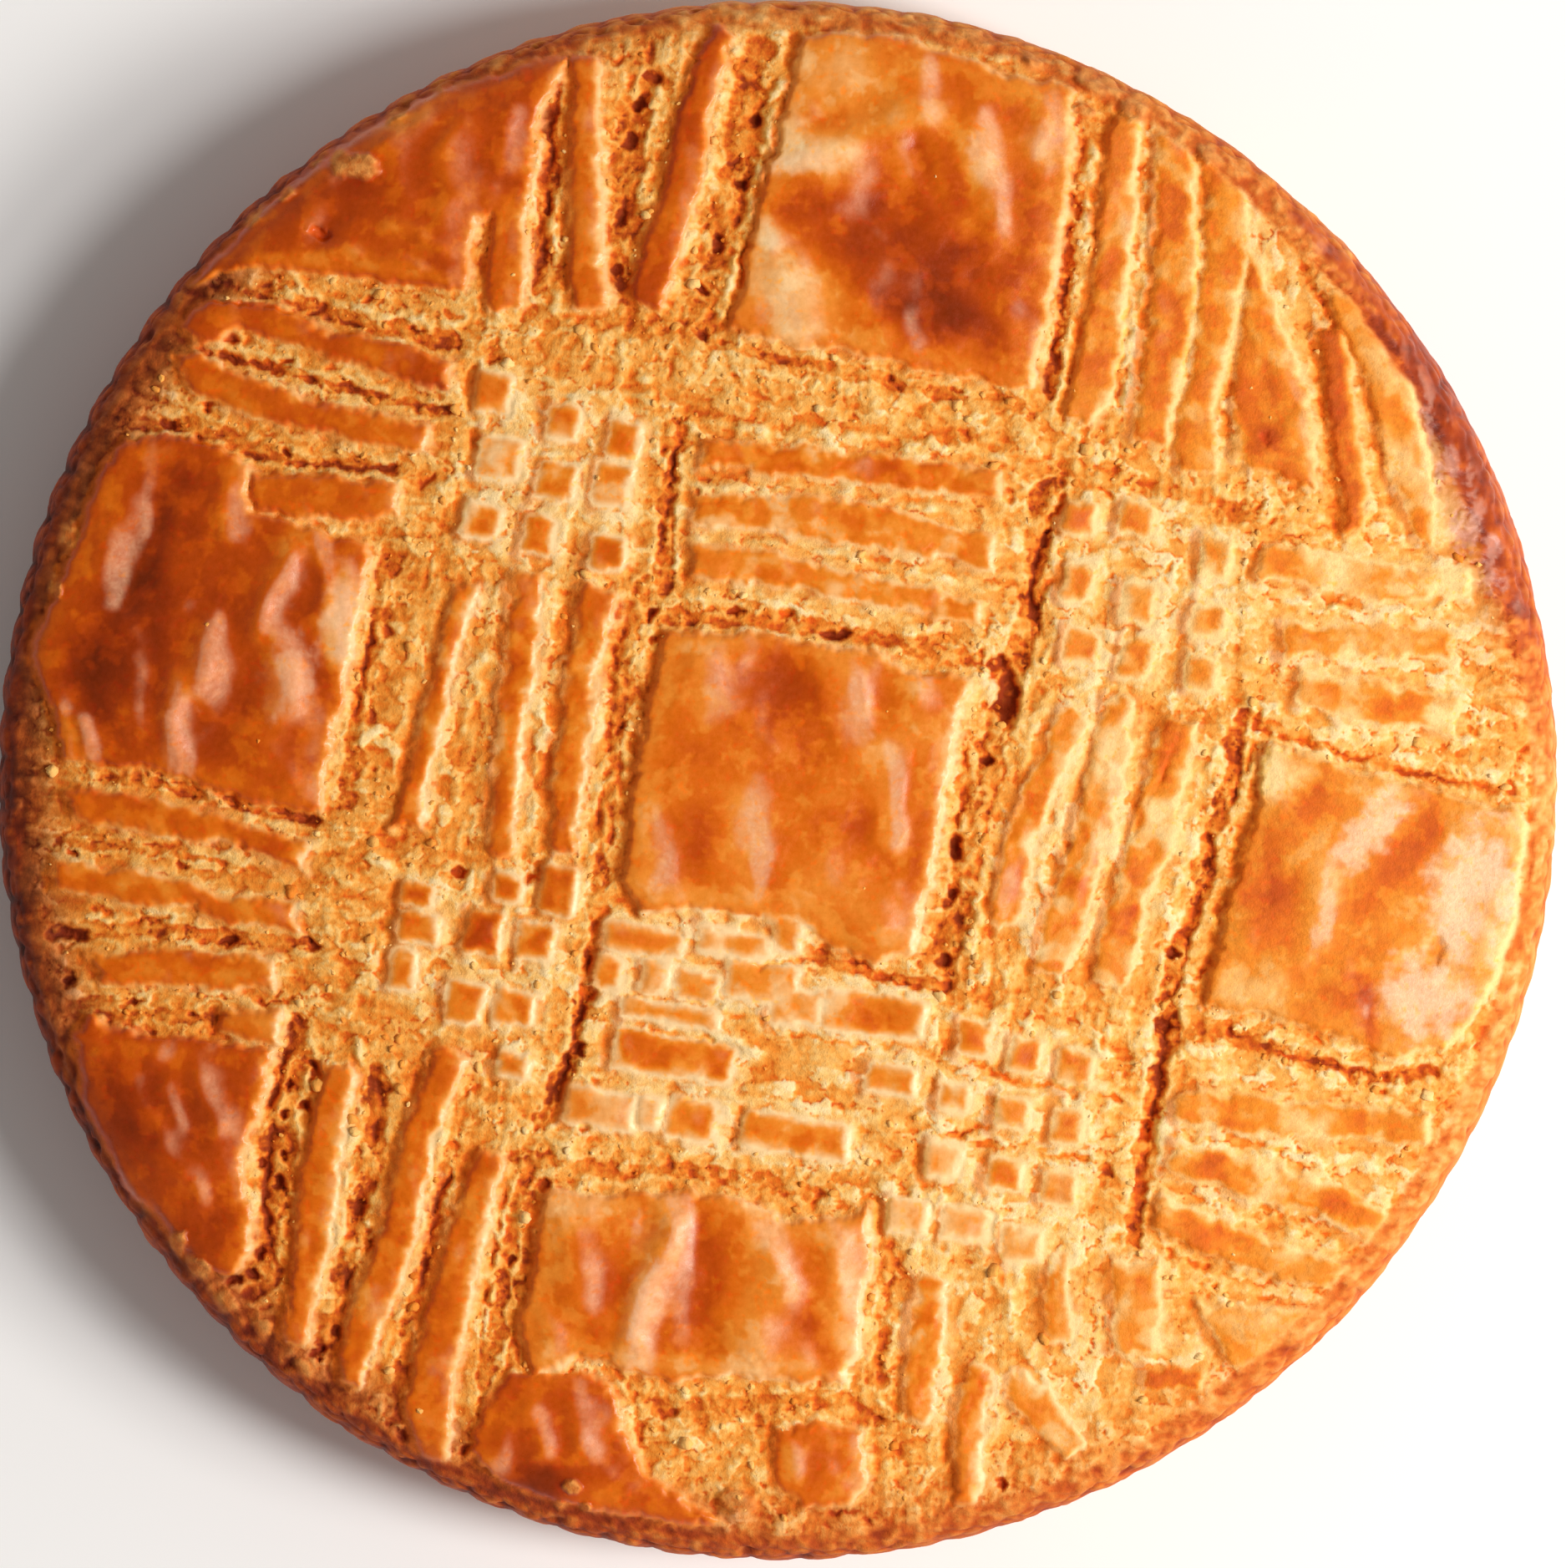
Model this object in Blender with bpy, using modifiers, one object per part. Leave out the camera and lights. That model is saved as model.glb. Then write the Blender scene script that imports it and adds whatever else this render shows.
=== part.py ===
"""Breton butter cake.

A thick round butter cake, baked in a fluted ring and turned out: a drum with a
fluted side, a soft shoulder and a slightly domed top. The top was marked before
baking by pulling a four-tined fork twice across and twice down, so the grooves
leave nine smooth patches, runs of three parallel ridges, and small squares
where the strokes cross. Lengths are in metres, +Z is up, and the origin is in
the middle of the underside.
"""

import math

import bmesh
import bpy
from mathutils import Vector

# ---------------------------------------------------------------- dimensions
DIAMETER = 0.180  # across the widest part of the side
HEIGHT = 0.031  # underside to the highest part of the crown
RIM_HEIGHT = 0.0268  # flat margin of the top, inside the shoulder
CROWN_RADIUS = 0.0815  # the domed part of the top
CROWN_EDGE = 0.0003  # how far the dome runs below the margin where it would end
BASE_RADIUS = 0.0866  # flat underside

FLUTES = 100  # pleats round the side
FLUTE_DEPTH = 0.0004
SIDE_STEPS = 2 * FLUTES  # one step for each crest and each hollow
CROWN_STEPS = 48
CROWN_RINGS = 4

TINES = 4
TINE_PITCH = 0.0075  # from one groove to the next
GROOVE_WIDTH = 0.0030
GROOVE_DEPTH = 0.0011
GROOVE_POINTS = 13  # points along one groove

# Fork strokes on the top, each a shallow bow through three places (x, y):
# its start, its middle and its end, with the number of grooves, their pitch
# and how much they spread towards both ends.
STROKES = {
    "across_back": ((-0.0674, 0.0467), (0.0049, 0.0290), (0.0773, 0.0160), TINES, TINE_PITCH, 0.05),
    "across_front": ((-0.0799, -0.0112), (-0.0030, -0.0290), (0.0682, -0.0511), TINES, TINE_PITCH, 0.05),
    "down_left": ((-0.0203, 0.0840), (-0.0299, 0.0129), (-0.0482, -0.0689), TINES, TINE_PITCH, 0.22),
    "down_right": ((0.0465, 0.0792), (0.0398, 0.0061), (0.0239, -0.0737), TINES, TINE_PITCH, 0.05),
    "short_pull": ((0.0636, 0.0560), (0.0652, 0.0425), (0.0661, 0.0290), 2, 0.0045, 0.0),
}
STROKE_OVERRUN = 0.14  # how far past both named ends a groove runs, as a share of the stroke

RADIUS = DIAMETER / 2

# ------------------------------------------------------------ clean the scene
for old in list(bpy.data.objects):
    bpy.data.objects.remove(old, do_unlink=True)
for old in list(bpy.data.collections):
    bpy.data.collections.remove(old)

parts = bpy.data.collections.new("breton_butter_cake")
cutters = bpy.data.collections.new("cutters")
bpy.context.scene.collection.children.link(parts)
bpy.context.scene.collection.children.link(cutters)


def material(name, colour, roughness, metallic=0.0):
    made = bpy.data.materials.new(name)
    made.use_nodes = True
    shader = made.node_tree.nodes["Principled BSDF"]
    shader.inputs["Base Color"].default_value = (*colour, 1.0)
    shader.inputs["Roughness"].default_value = roughness
    shader.inputs["Metallic"].default_value = metallic
    return made


def as_cutter(thing):
    thing.display_type = "WIRE"
    thing.hide_render = True
    return thing


def crown_height(radius):
    """Height of the domed top at a distance from the middle."""
    share = min(radius / CROWN_RADIUS, 1.2)
    edge = RIM_HEIGHT - CROWN_EDGE
    return edge + (HEIGHT - edge) * (1.0 - share**2.4)


def turned(name, profile, steps, collection):
    """An object turned round +Z from a profile of (radius, height) pairs."""
    mesh = bpy.data.meshes.new(name)
    mesh.from_pydata([(r, 0.0, z) for r, z in profile], [(i, i + 1) for i in range(len(profile) - 1)], [])
    made = bpy.data.objects.new(name, mesh)
    collection.objects.link(made)
    screw = made.modifiers.new("turn", "SCREW")
    screw.axis = "Z"
    screw.angle = 2.0 * math.pi
    screw.steps = steps
    screw.render_steps = steps
    screw.use_merge_vertices = True
    screw.merge_threshold = 0.00001
    screw.use_smooth_shade = True
    return made


def freeze(thing):
    """Replaces an object's mesh by its evaluated one and drops its modifiers."""
    depsgraph = bpy.context.evaluated_depsgraph_get()
    mesh = bpy.data.meshes.new_from_object(thing.evaluated_get(depsgraph))
    thing.modifiers.clear()
    thing.data = mesh
    return thing


# --------------------------------------------------------------- fluted drum
# Side profile from the flat margin of the top, over the shoulder and down to
# the rounded lower edge, at the crests of the flutes.
side_profile = [
    (CROWN_RADIUS + 0.0010, RIM_HEIGHT),
    (0.0851, 0.0261),
    (0.0878, 0.0238),
    (0.0893, 0.0203),
    (RADIUS, 0.0150),
    (0.0897, 0.0075),
    (0.0887, 0.0022),
    (BASE_RADIUS, 0.0),
]
cake = turned("cake", side_profile, SIDE_STEPS, parts)
freeze(cake)

bm = bmesh.new()
bm.from_mesh(cake.data)
for vertex in bm.verts:
    x, y, z = vertex.co
    turn = math.atan2(y, x)
    hollow = 0.5 - 0.5 * math.cos(FLUTES * turn)
    fade = min(max((RIM_HEIGHT - z) / (RIM_HEIGHT - 0.0203), 0.0), 1.0)
    shrink = 1.0 - hollow * fade * FLUTE_DEPTH / RADIUS
    vertex.co = (x * shrink, y * shrink, z)
open_edges = [edge for edge in bm.edges if edge.is_boundary]
bmesh.ops.holes_fill(bm, edges=open_edges, sides=0)
bmesh.ops.recalc_face_normals(bm, faces=bm.faces)
bm.to_mesh(cake.data)
bm.free()

# -------------------------------------------------------------- domed crown
crown_profile = [
    (CROWN_RADIUS * i / CROWN_RINGS, crown_height(CROWN_RADIUS * i / CROWN_RINGS)) for i in range(CROWN_RINGS + 1)
]
crown_profile += [(CROWN_RADIUS, RIM_HEIGHT - 0.004), (0.0, RIM_HEIGHT - 0.004)]
crown = as_cutter(turned("crown", crown_profile, CROWN_STEPS, cutters))

union = cake.modifiers.new("crown", "BOOLEAN")
union.operation = "UNION"
union.solver = "EXACT"
union.object = crown

# ------------------------------------------------------------- fork grooves
# A groove is cut by a bent round bar that follows the dome: its radius and its
# height over the surface give the groove's width and depth.
BAR_RADIUS = (GROOVE_WIDTH**2 / 4 + GROOVE_DEPTH**2) / (2 * GROOVE_DEPTH)
BAR_LIFT = BAR_RADIUS - GROOVE_DEPTH


def stroke_point(start, middle, end, share):
    """Point and direction on the bow through three places, at a share of its length."""
    a, m, b = Vector(start), Vector(middle), Vector(end)
    control = 2.0 * m - 0.5 * (a + b)
    point = (1 - share) ** 2 * a + 2 * share * (1 - share) * control + share**2 * b
    direction = 2 * (1 - share) * (control - a) + 2 * share * (b - control)
    return point, direction.normalized()


def groove_bar(name, start, middle, end, offset, spread):
    """The bent bar of one tine, as a closed mesh object."""
    curve = bpy.data.curves.new(name + "_path", "CURVE")
    curve.dimensions = "3D"
    curve.bevel_depth = BAR_RADIUS
    curve.bevel_resolution = 2
    curve.use_fill_caps = True
    spline = curve.splines.new("POLY")
    places = []
    for i in range(GROOVE_POINTS):
        share = -STROKE_OVERRUN + (1 + 2 * STROKE_OVERRUN) * i / (GROOVE_POINTS - 1)
        point, direction = stroke_point(start, middle, end, share)
        side = Vector((-direction.y, direction.x))
        away = offset * (1.0 + spread * (2 * share - 1) ** 2)
        place = point + side * away
        if place.length < RADIUS + 0.004:
            places.append((place.x, place.y, crown_height(place.length) + BAR_LIFT))
    spline.points.add(len(places) - 1)
    for point, place in zip(spline.points, places):
        point.co = (*place, 1.0)
    bar = bpy.data.objects.new(name + "_path", curve)
    cutters.objects.link(bar)
    depsgraph = bpy.context.evaluated_depsgraph_get()
    mesh = bpy.data.meshes.new_from_object(bar.evaluated_get(depsgraph))
    weld = bmesh.new()
    weld.from_mesh(mesh)
    bmesh.ops.remove_doubles(weld, verts=weld.verts, dist=0.00001)
    bmesh.ops.recalc_face_normals(weld, faces=weld.faces)
    weld.to_mesh(mesh)
    weld.free()
    solid = bpy.data.objects.new(name, mesh)
    solid.matrix_world = bar.matrix_world.copy()
    bpy.data.objects.remove(bar, do_unlink=True)
    cutters.objects.link(solid)
    return as_cutter(solid)


for stroke, (start, middle, end, tines, pitch, spread) in STROKES.items():
    for tine in range(tines):
        offset = (tine - (tines - 1) / 2) * pitch
        bar = groove_bar(f"{stroke}_tine_{tine + 1}", start, middle, end, offset, spread)
        cut = cake.modifiers.new(bar.name, "BOOLEAN")
        cut.operation = "DIFFERENCE"
        cut.solver = "EXACT"
        cut.object = bar

# ------------------------------------------------------- crust and smoothing
crust = material("golden_crust", (0.62, 0.21, 0.035), 0.45)
cake.data.materials.clear()
cake.data.materials.append(crust)
cake.data.shade_smooth()
cake.data.set_sharp_from_angle(angle=math.radians(38))
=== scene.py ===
"""Looks of a round breton butter cake.

The cake's whole surface is made here as one closed skin of relief, worked out
from named features: smooth glazed islands (patches, bars and small squares)
that the fork left standing, and the rough crumb, grooves, cracks and pits
between them. Places on the top are given as (u, v), with u to the right and v
to the front, PX millimetres to the unit, measured from the same corner.
"""

import math

import bpy
import numpy as np
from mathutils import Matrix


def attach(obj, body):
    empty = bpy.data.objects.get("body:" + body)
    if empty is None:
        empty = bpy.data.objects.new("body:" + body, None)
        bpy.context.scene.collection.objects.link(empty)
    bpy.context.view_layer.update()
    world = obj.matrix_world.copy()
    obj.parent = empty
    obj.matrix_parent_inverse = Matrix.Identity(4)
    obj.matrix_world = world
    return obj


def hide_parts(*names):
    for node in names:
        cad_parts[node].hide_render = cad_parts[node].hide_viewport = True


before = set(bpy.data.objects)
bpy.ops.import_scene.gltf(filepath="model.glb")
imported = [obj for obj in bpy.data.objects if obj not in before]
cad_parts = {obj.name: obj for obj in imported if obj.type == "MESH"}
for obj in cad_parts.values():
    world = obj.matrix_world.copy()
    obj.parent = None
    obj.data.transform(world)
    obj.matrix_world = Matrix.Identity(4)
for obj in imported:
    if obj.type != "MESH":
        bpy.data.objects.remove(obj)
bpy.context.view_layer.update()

# ------------------------------------------------------------------- sizes
PX = 0.095025  # millimetres for one unit of u or v, on the top
CENTRE_U, CENTRE_V = 930.9, 933.9  # the cake's middle in (u, v)
STEP = 2.85  # distance between two points of the top's relief, in units
HALF = 330  # points from the middle to the border of the relief
TOP_RADIUS = 86.0  # mm, where the top's relief is sewn to the side
PITCH = 78.0  # from one fork groove to the next, in units
SKIN_RISE = 0.92  # mm from the mean crumb to the glazed skin
DOME_DROP = 1.30  # mm from the solid's crown down to the mean crumb
TOP_LIMIT = 30.97  # mm, nothing is higher

SIDE_COLUMNS = 1440
FLUTES = 100
SECTORS = 6

# ----------------------------------------------------------------- helpers
rng = np.random.default_rng(20)
PERM = rng.permutation(1024)
TURN = rng.random(1024) * 2 * np.pi
GRAD_X, GRAD_Y = np.cos(TURN), np.sin(TURN)
RAND_A, RAND_B, RAND_C = rng.random(1024), rng.random(1024), rng.random(1024)


def pick(ix, iy, seed):
    return PERM[(PERM[(ix + 37 * seed) & 1023] + iy + 101 * seed) & 1023]


def noise(x, y, seed):
    """Smooth gradient noise, about -1 to 1."""
    ix, iy = np.floor(x).astype(np.int64), np.floor(y).astype(np.int64)
    fx, fy = x - ix, y - iy
    sx = fx * fx * fx * (fx * (fx * 6 - 15) + 10)
    sy = fy * fy * fy * (fy * (fy * 6 - 15) + 10)
    h00, h10 = pick(ix, iy, seed), pick(ix + 1, iy, seed)
    h01, h11 = pick(ix, iy + 1, seed), pick(ix + 1, iy + 1, seed)
    n00 = GRAD_X[h00] * fx + GRAD_Y[h00] * fy
    n10 = GRAD_X[h10] * (fx - 1) + GRAD_Y[h10] * fy
    n01 = GRAD_X[h01] * fx + GRAD_Y[h01] * (fy - 1)
    n11 = GRAD_X[h11] * (fx - 1) + GRAD_Y[h11] * (fy - 1)
    low = n00 + sx * (n10 - n00)
    high = n01 + sx * (n11 - n01)
    return 1.5 * (low + sy * (high - low))


def fbm(x, y, seed, octaves=4, gain=0.5):
    total, size, share = 0.0, 1.0, 1.0
    for k in range(octaves):
        total = total + share * noise(x * size + 17.3 * k, y * size - 9.1 * k, seed + k)
        size *= 2.03
        share *= gain
    return total


def cells(x, y, seed):
    """Distances to the nearest and the second nearest of scattered points, and that point's own number."""
    ix, iy = np.floor(x).astype(np.int64), np.floor(y).astype(np.int64)
    first = np.full(x.shape, 9.0)
    second = np.full(x.shape, 9.0)
    own = np.zeros(x.shape)
    for dx in (-1, 0, 1):
        for dy in (-1, 0, 1):
            h = pick(ix + dx, iy + dy, seed)
            away = np.hypot(ix + dx + RAND_A[h] - x, iy + dy + RAND_B[h] - y)
            nearer = away < first
            second = np.where(nearer, first, np.minimum(second, away))
            own = np.where(nearer, RAND_C[h], own)
            first = np.where(nearer, away, first)
    return first, second, own


def step(low, high, x):
    """Goes smoothly from 0 at low to 1 at high."""
    t = np.clip((x - low) / (high - low), 0.0, 1.0)
    return t * t * (3 - 2 * t)


def linear(r, g, b):
    """Linear colour of a display colour given as 0 to 255."""
    out = []
    for c in (r, g, b):
        c /= 255.0
        out.append(c / 12.92 if c <= 0.04045 else ((c + 0.055) / 1.055) ** 2.4)
    return np.array(out)


def ramp(t, stops):
    """Colour along a list of (place, (r, g, b)) stops."""
    places = [s[0] for s in stops]
    colours = np.array([linear(*s[1]) for s in stops])
    return np.stack([np.interp(t, places, colours[:, k]) for k in range(3)], -1)


def mix(a, b, share):
    return a + (b - a) * share[..., None]


# ---------------------------------------------------------- the top's grid
COUNT = 2 * HALF + 1
U0, V0 = CENTRE_U - HALF * STEP, CENTRE_V - HALF * STEP
V, U = np.meshgrid(V0 + STEP * np.arange(COUNT), U0 + STEP * np.arange(COUNT), indexing="ij")
X, Y = (U - CENTRE_U) * PX, (CENTRE_V - V) * PX  # mm
R = np.hypot(X, Y)
THETA = np.degrees(np.arctan2(Y, X))  # 0 to the right, 90 at the back

FREQ = np.fft.rfftfreq(COUNT), np.fft.fftfreq(COUNT)


def blur(a, sigma):
    """Gaussian blur; sigma in units."""
    s = sigma / STEP
    keep = np.exp(-2 * (np.pi * s) ** 2 * (FREQ[0][None, :] ** 2 + FREQ[1][:, None] ** 2))
    return np.fft.irfft2(np.fft.rfft2(a) * keep, s=a.shape)


# Torn, wavering edges: every feature is looked up at a slightly shifted place.
UW = U + 5.0 * noise(U / 41, V / 41, 1) + 3.4 * noise(U / 17, V / 17, 2) + 2.4 * noise(U / 7.5, V / 7.5, 3)
VW = V + 5.0 * noise(U / 41, V / 41, 4) + 3.4 * noise(U / 17, V / 17, 5) + 2.4 * noise(U / 7.5, V / 7.5, 6)


def window(points, pad):
    p = np.array([q[:2] for q in points], float)
    low, high = p.min(0) - pad, p.max(0) + pad
    j0, j1 = int((low[0] - U0) / STEP), int((high[0] - U0) / STEP) + 2
    i0, i1 = int((low[1] - V0) / STEP), int((high[1] - V0) / STEP) + 2
    return slice(max(i0, 0), min(max(i1, 1), COUNT)), slice(max(j0, 0), min(max(j1, 1), COUNT))


def inside_polygon(points, u, v):
    """Signed distance to a closed outline, positive inside."""
    near = np.full(u.shape, 1e9)
    inside = np.zeros(u.shape, bool)
    for (a0, a1), (b0, b1) in zip(points, points[1:] + points[:1]):
        e0, e1 = b0 - a0, b1 - a1
        t = np.clip(((u - a0) * e0 + (v - a1) * e1) / (e0 * e0 + e1 * e1), 0, 1)
        near = np.minimum(near, (u - a0 - e0 * t) ** 2 + (v - a1 - e1 * t) ** 2)
        if a1 != b1:
            spans = ((a1 <= v) & (v < b1)) | ((b1 <= v) & (v < a1))
            inside ^= spans & (u < a0 + (v - a1) * e0 / e1)
    near = np.sqrt(near)
    return np.where(inside, near, -near)


def inside_bar(points, u, v):
    """Signed distance to a bar with blunt ends along points (u, v, width), positive inside."""
    best = np.full(u.shape, -1e9)
    corner = 7.0
    for k, ((a0, a1, aw), (b0, b1, bw)) in enumerate(zip(points, points[1:])):
        first, last = k == 0, k == len(points) - 2
        e0, e1 = b0 - a0, b1 - a1
        length = math.hypot(e0, e1)
        share = ((u - a0) * e0 + (v - a1) * e1) / length ** 2
        t = np.clip(share, 0, 1)
        half = (aw + (bw - aw) * t) / 2
        away = np.hypot(u - a0 - e0 * t, v - a1 - e1 * t)
        across = np.abs((u - a0) * e1 - (v - a1) * e0) / length
        if first:
            away = np.where(share < 0, across, away)
        if last:
            away = np.where(share > 1, across, away)
        end = np.full(u.shape, 1e6)
        if first:
            end = np.minimum(end, 0.78 * half + share * length)
        if last:
            end = np.minimum(end, 0.78 * half + (1 - share) * length)
        du, dv = corner - (half - away), corner - end
        inside = corner - np.hypot(np.maximum(du, 0), np.maximum(dv, 0)) - np.minimum(np.maximum(du, dv), 0)
        best = np.maximum(best, inside)
    return best


def inside_block(low_u, low_v, high_u, high_v, u, v, lean=0.16, corner=9.0):
    """Signed distance to a small square with soft corners, turned by lean, positive inside."""
    cu, cv = (low_u + high_u) / 2, (low_v + high_v) / 2
    c, s = math.cos(lean), math.sin(lean)
    p, q = (u - cu) * c + (v - cv) * s, -(u - cu) * s + (v - cv) * c
    du, dv = np.abs(p) - (high_u - low_u) / 2 + corner, np.abs(q) - (high_v - low_v) / 2 + corner
    return corner - np.hypot(np.maximum(du, 0), np.maximum(dv, 0)) - np.minimum(np.maximum(du, dv), 0)


def along(points, u, v):
    """Unsigned distance to an open line."""
    near = np.full(u.shape, 1e9)
    for (a0, a1), (b0, b1) in zip(points, points[1:]):
        e0, e1 = b0 - a0, b1 - a1
        t = np.clip(((u - a0) * e0 + (v - a1) * e1) / (e0 * e0 + e1 * e1), 0, 1)
        near = np.minimum(near, (u - a0 - e0 * t) ** 2 + (v - a1 - e1 * t) ** 2)
    return np.sqrt(near)


# -------------------------------------------------------------- fork strokes
STROKES = {
    "across_back": [(100, 400), (230, 448), (350, 490), (515, 527), (734, 581), (838, 610), (1195, 662), (1292, 699), (1448, 744), (1540, 766), (1735, 768), (1860, 775)],
    "across_front": [(20, 1035), (100, 1050), (315, 1095), (575, 1145), (800, 1210), (1000, 1265), (1214, 1333), (1440, 1395), (1640, 1465), (1760, 1510)],
    "down_left": [(730, 0), (720, 60), (700, 200), (700, 340), (675, 508), (646, 642), (620, 800), (602, 1000), (575, 1120), (540, 1280), (505, 1350), (470, 1500), (430, 1650), (400, 1760)],
    "down_right": [(1400, 60), (1410, 175), (1410, 250), (1408, 350), (1395, 450), (1363, 621), (1362, 788), (1328, 948), (1284, 1108), (1231, 1262), (1204, 1406), (1180, 1600), (1165, 1800)],
}


def across_offset(name):
    """Signed distance across a stroke (to the front, or to the right), from its middle line."""
    line = np.array(STROKES[name], float)
    if name.startswith("across"):
        middle = np.interp(U, line[:, 0], line[:, 1])
        slope = np.interp(U, (line[1:, 0] + line[:-1, 0]) / 2, np.diff(line[:, 1]) / np.diff(line[:, 0]))
        return (V - middle) / np.sqrt(1 + slope**2)
    middle = np.interp(V, line[:, 1], line[:, 0])
    slope = np.interp(V, (line[1:, 1] + line[:-1, 1]) / 2, np.diff(line[:, 0]) / np.diff(line[:, 1]))
    return (U - middle) / np.sqrt(1 + slope**2)


OFFSETS = {name: across_offset(name) for name in STROKES}

# ------------------------------------------------- pressed dough and flakes
# Where the fork only pressed the dough the grooves are smooth and pale;
# elsewhere it tore. Middle, half sizes, angle, share.
PRESSED = [
    ((1315, 1000), (125, 185), 12, 1.0), ((1640, 775), (150, 130), 10, 0.8), ((1530, 1400), (170, 110), 12, 0.8), ((1370, 720), (110, 120), 10, 0.7),
    ((1220, 1330), (115, 120), 12, 0.7), ((1430, 370), (140, 210), 0, 0.65), ((1010, 635), (205, 125), 12, 0.7), ((660, 570), (115, 130), 10, 0.7),
    ((900, 1245), (210, 140), 14, 0.75), ((600, 850), (130, 165), 0, 0.6), ((1230, 1590), (180, 140), -10, 0.75), ((210, 1070), (170, 125), 8, 0.4),
    ((570, 1160), (110, 125), 10, 0.55), ((470, 1480), (110, 170), 0, 0.35), ((380, 470), (170, 80), 14, 0.25), ((640, 250), (50, 110), 0, 0.2),
    ((1720, 560), (60, 140), 0, 0.7), ((1480, 1620), (110, 60), -30, 0.7),
]
pressed = np.zeros(U.shape)
for (mu, mv), (au, av), angle, share in PRESSED:
    place = window([(mu, mv)], 1.6 * max(au, av))
    c, n = math.cos(math.radians(angle)), math.sin(math.radians(angle))
    p, q = ((U[place] - mu) * c + (V[place] - mv) * n) / au, ((V[place] - mv) * c - (U[place] - mu) * n) / av
    edge = np.hypot(p, q) + 0.16 * noise(U[place] / 50, V[place] / 50, 8)
    pressed[place] = np.maximum(pressed[place], share * (1 - step(0.80, 1.20, edge)))

def in_stroke(names, reach=150.0):
    near = np.minimum(*[np.abs(OFFSETS[n]) for n in names])
    return 1 - step(reach - 34, reach, near)


stroke_a = in_stroke(("across_back", "across_front"))
stroke_b = in_stroke(("down_left", "down_right"))


# Flat flakes of torn dough, drawn out along the stroke they lie in.
def flakes(angle, long, wide, seed):
    c, n = math.cos(angle), math.sin(angle)
    p = (U * c + V * n) / long + 0.40 * noise(U / 19, V / 19, seed + 1) + 0.18 * noise(U / 7, V / 7, seed + 2)
    q = (V * c - U * n) / wide + 0.40 * noise(U / 19, V / 19, seed + 3) + 0.18 * noise(U / 7, V / 7, seed + 4)
    near, following, own = cells(p, q, seed)
    return following - near, own


lay = step(-0.15, 0.15, stroke_a - stroke_b + 0.5 * noise(U / 70, V / 70, 160))
edge_a, own_across = flakes(math.radians(11), 34, 19, 161)
edge_b, own_down = flakes(math.radians(99), 34, 19, 171)
flake_edge = np.where(lay > 0.5, edge_a, edge_b)
flake_own = np.where(lay > 0.5, own_across, own_down)
flake_flat = step(0.0, 0.14, flake_edge)
flake_gap = (1 - step(0.02, 0.11, flake_edge)) * step(-0.25, 0.25, noise(U / 38, V / 38, 181))


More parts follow.
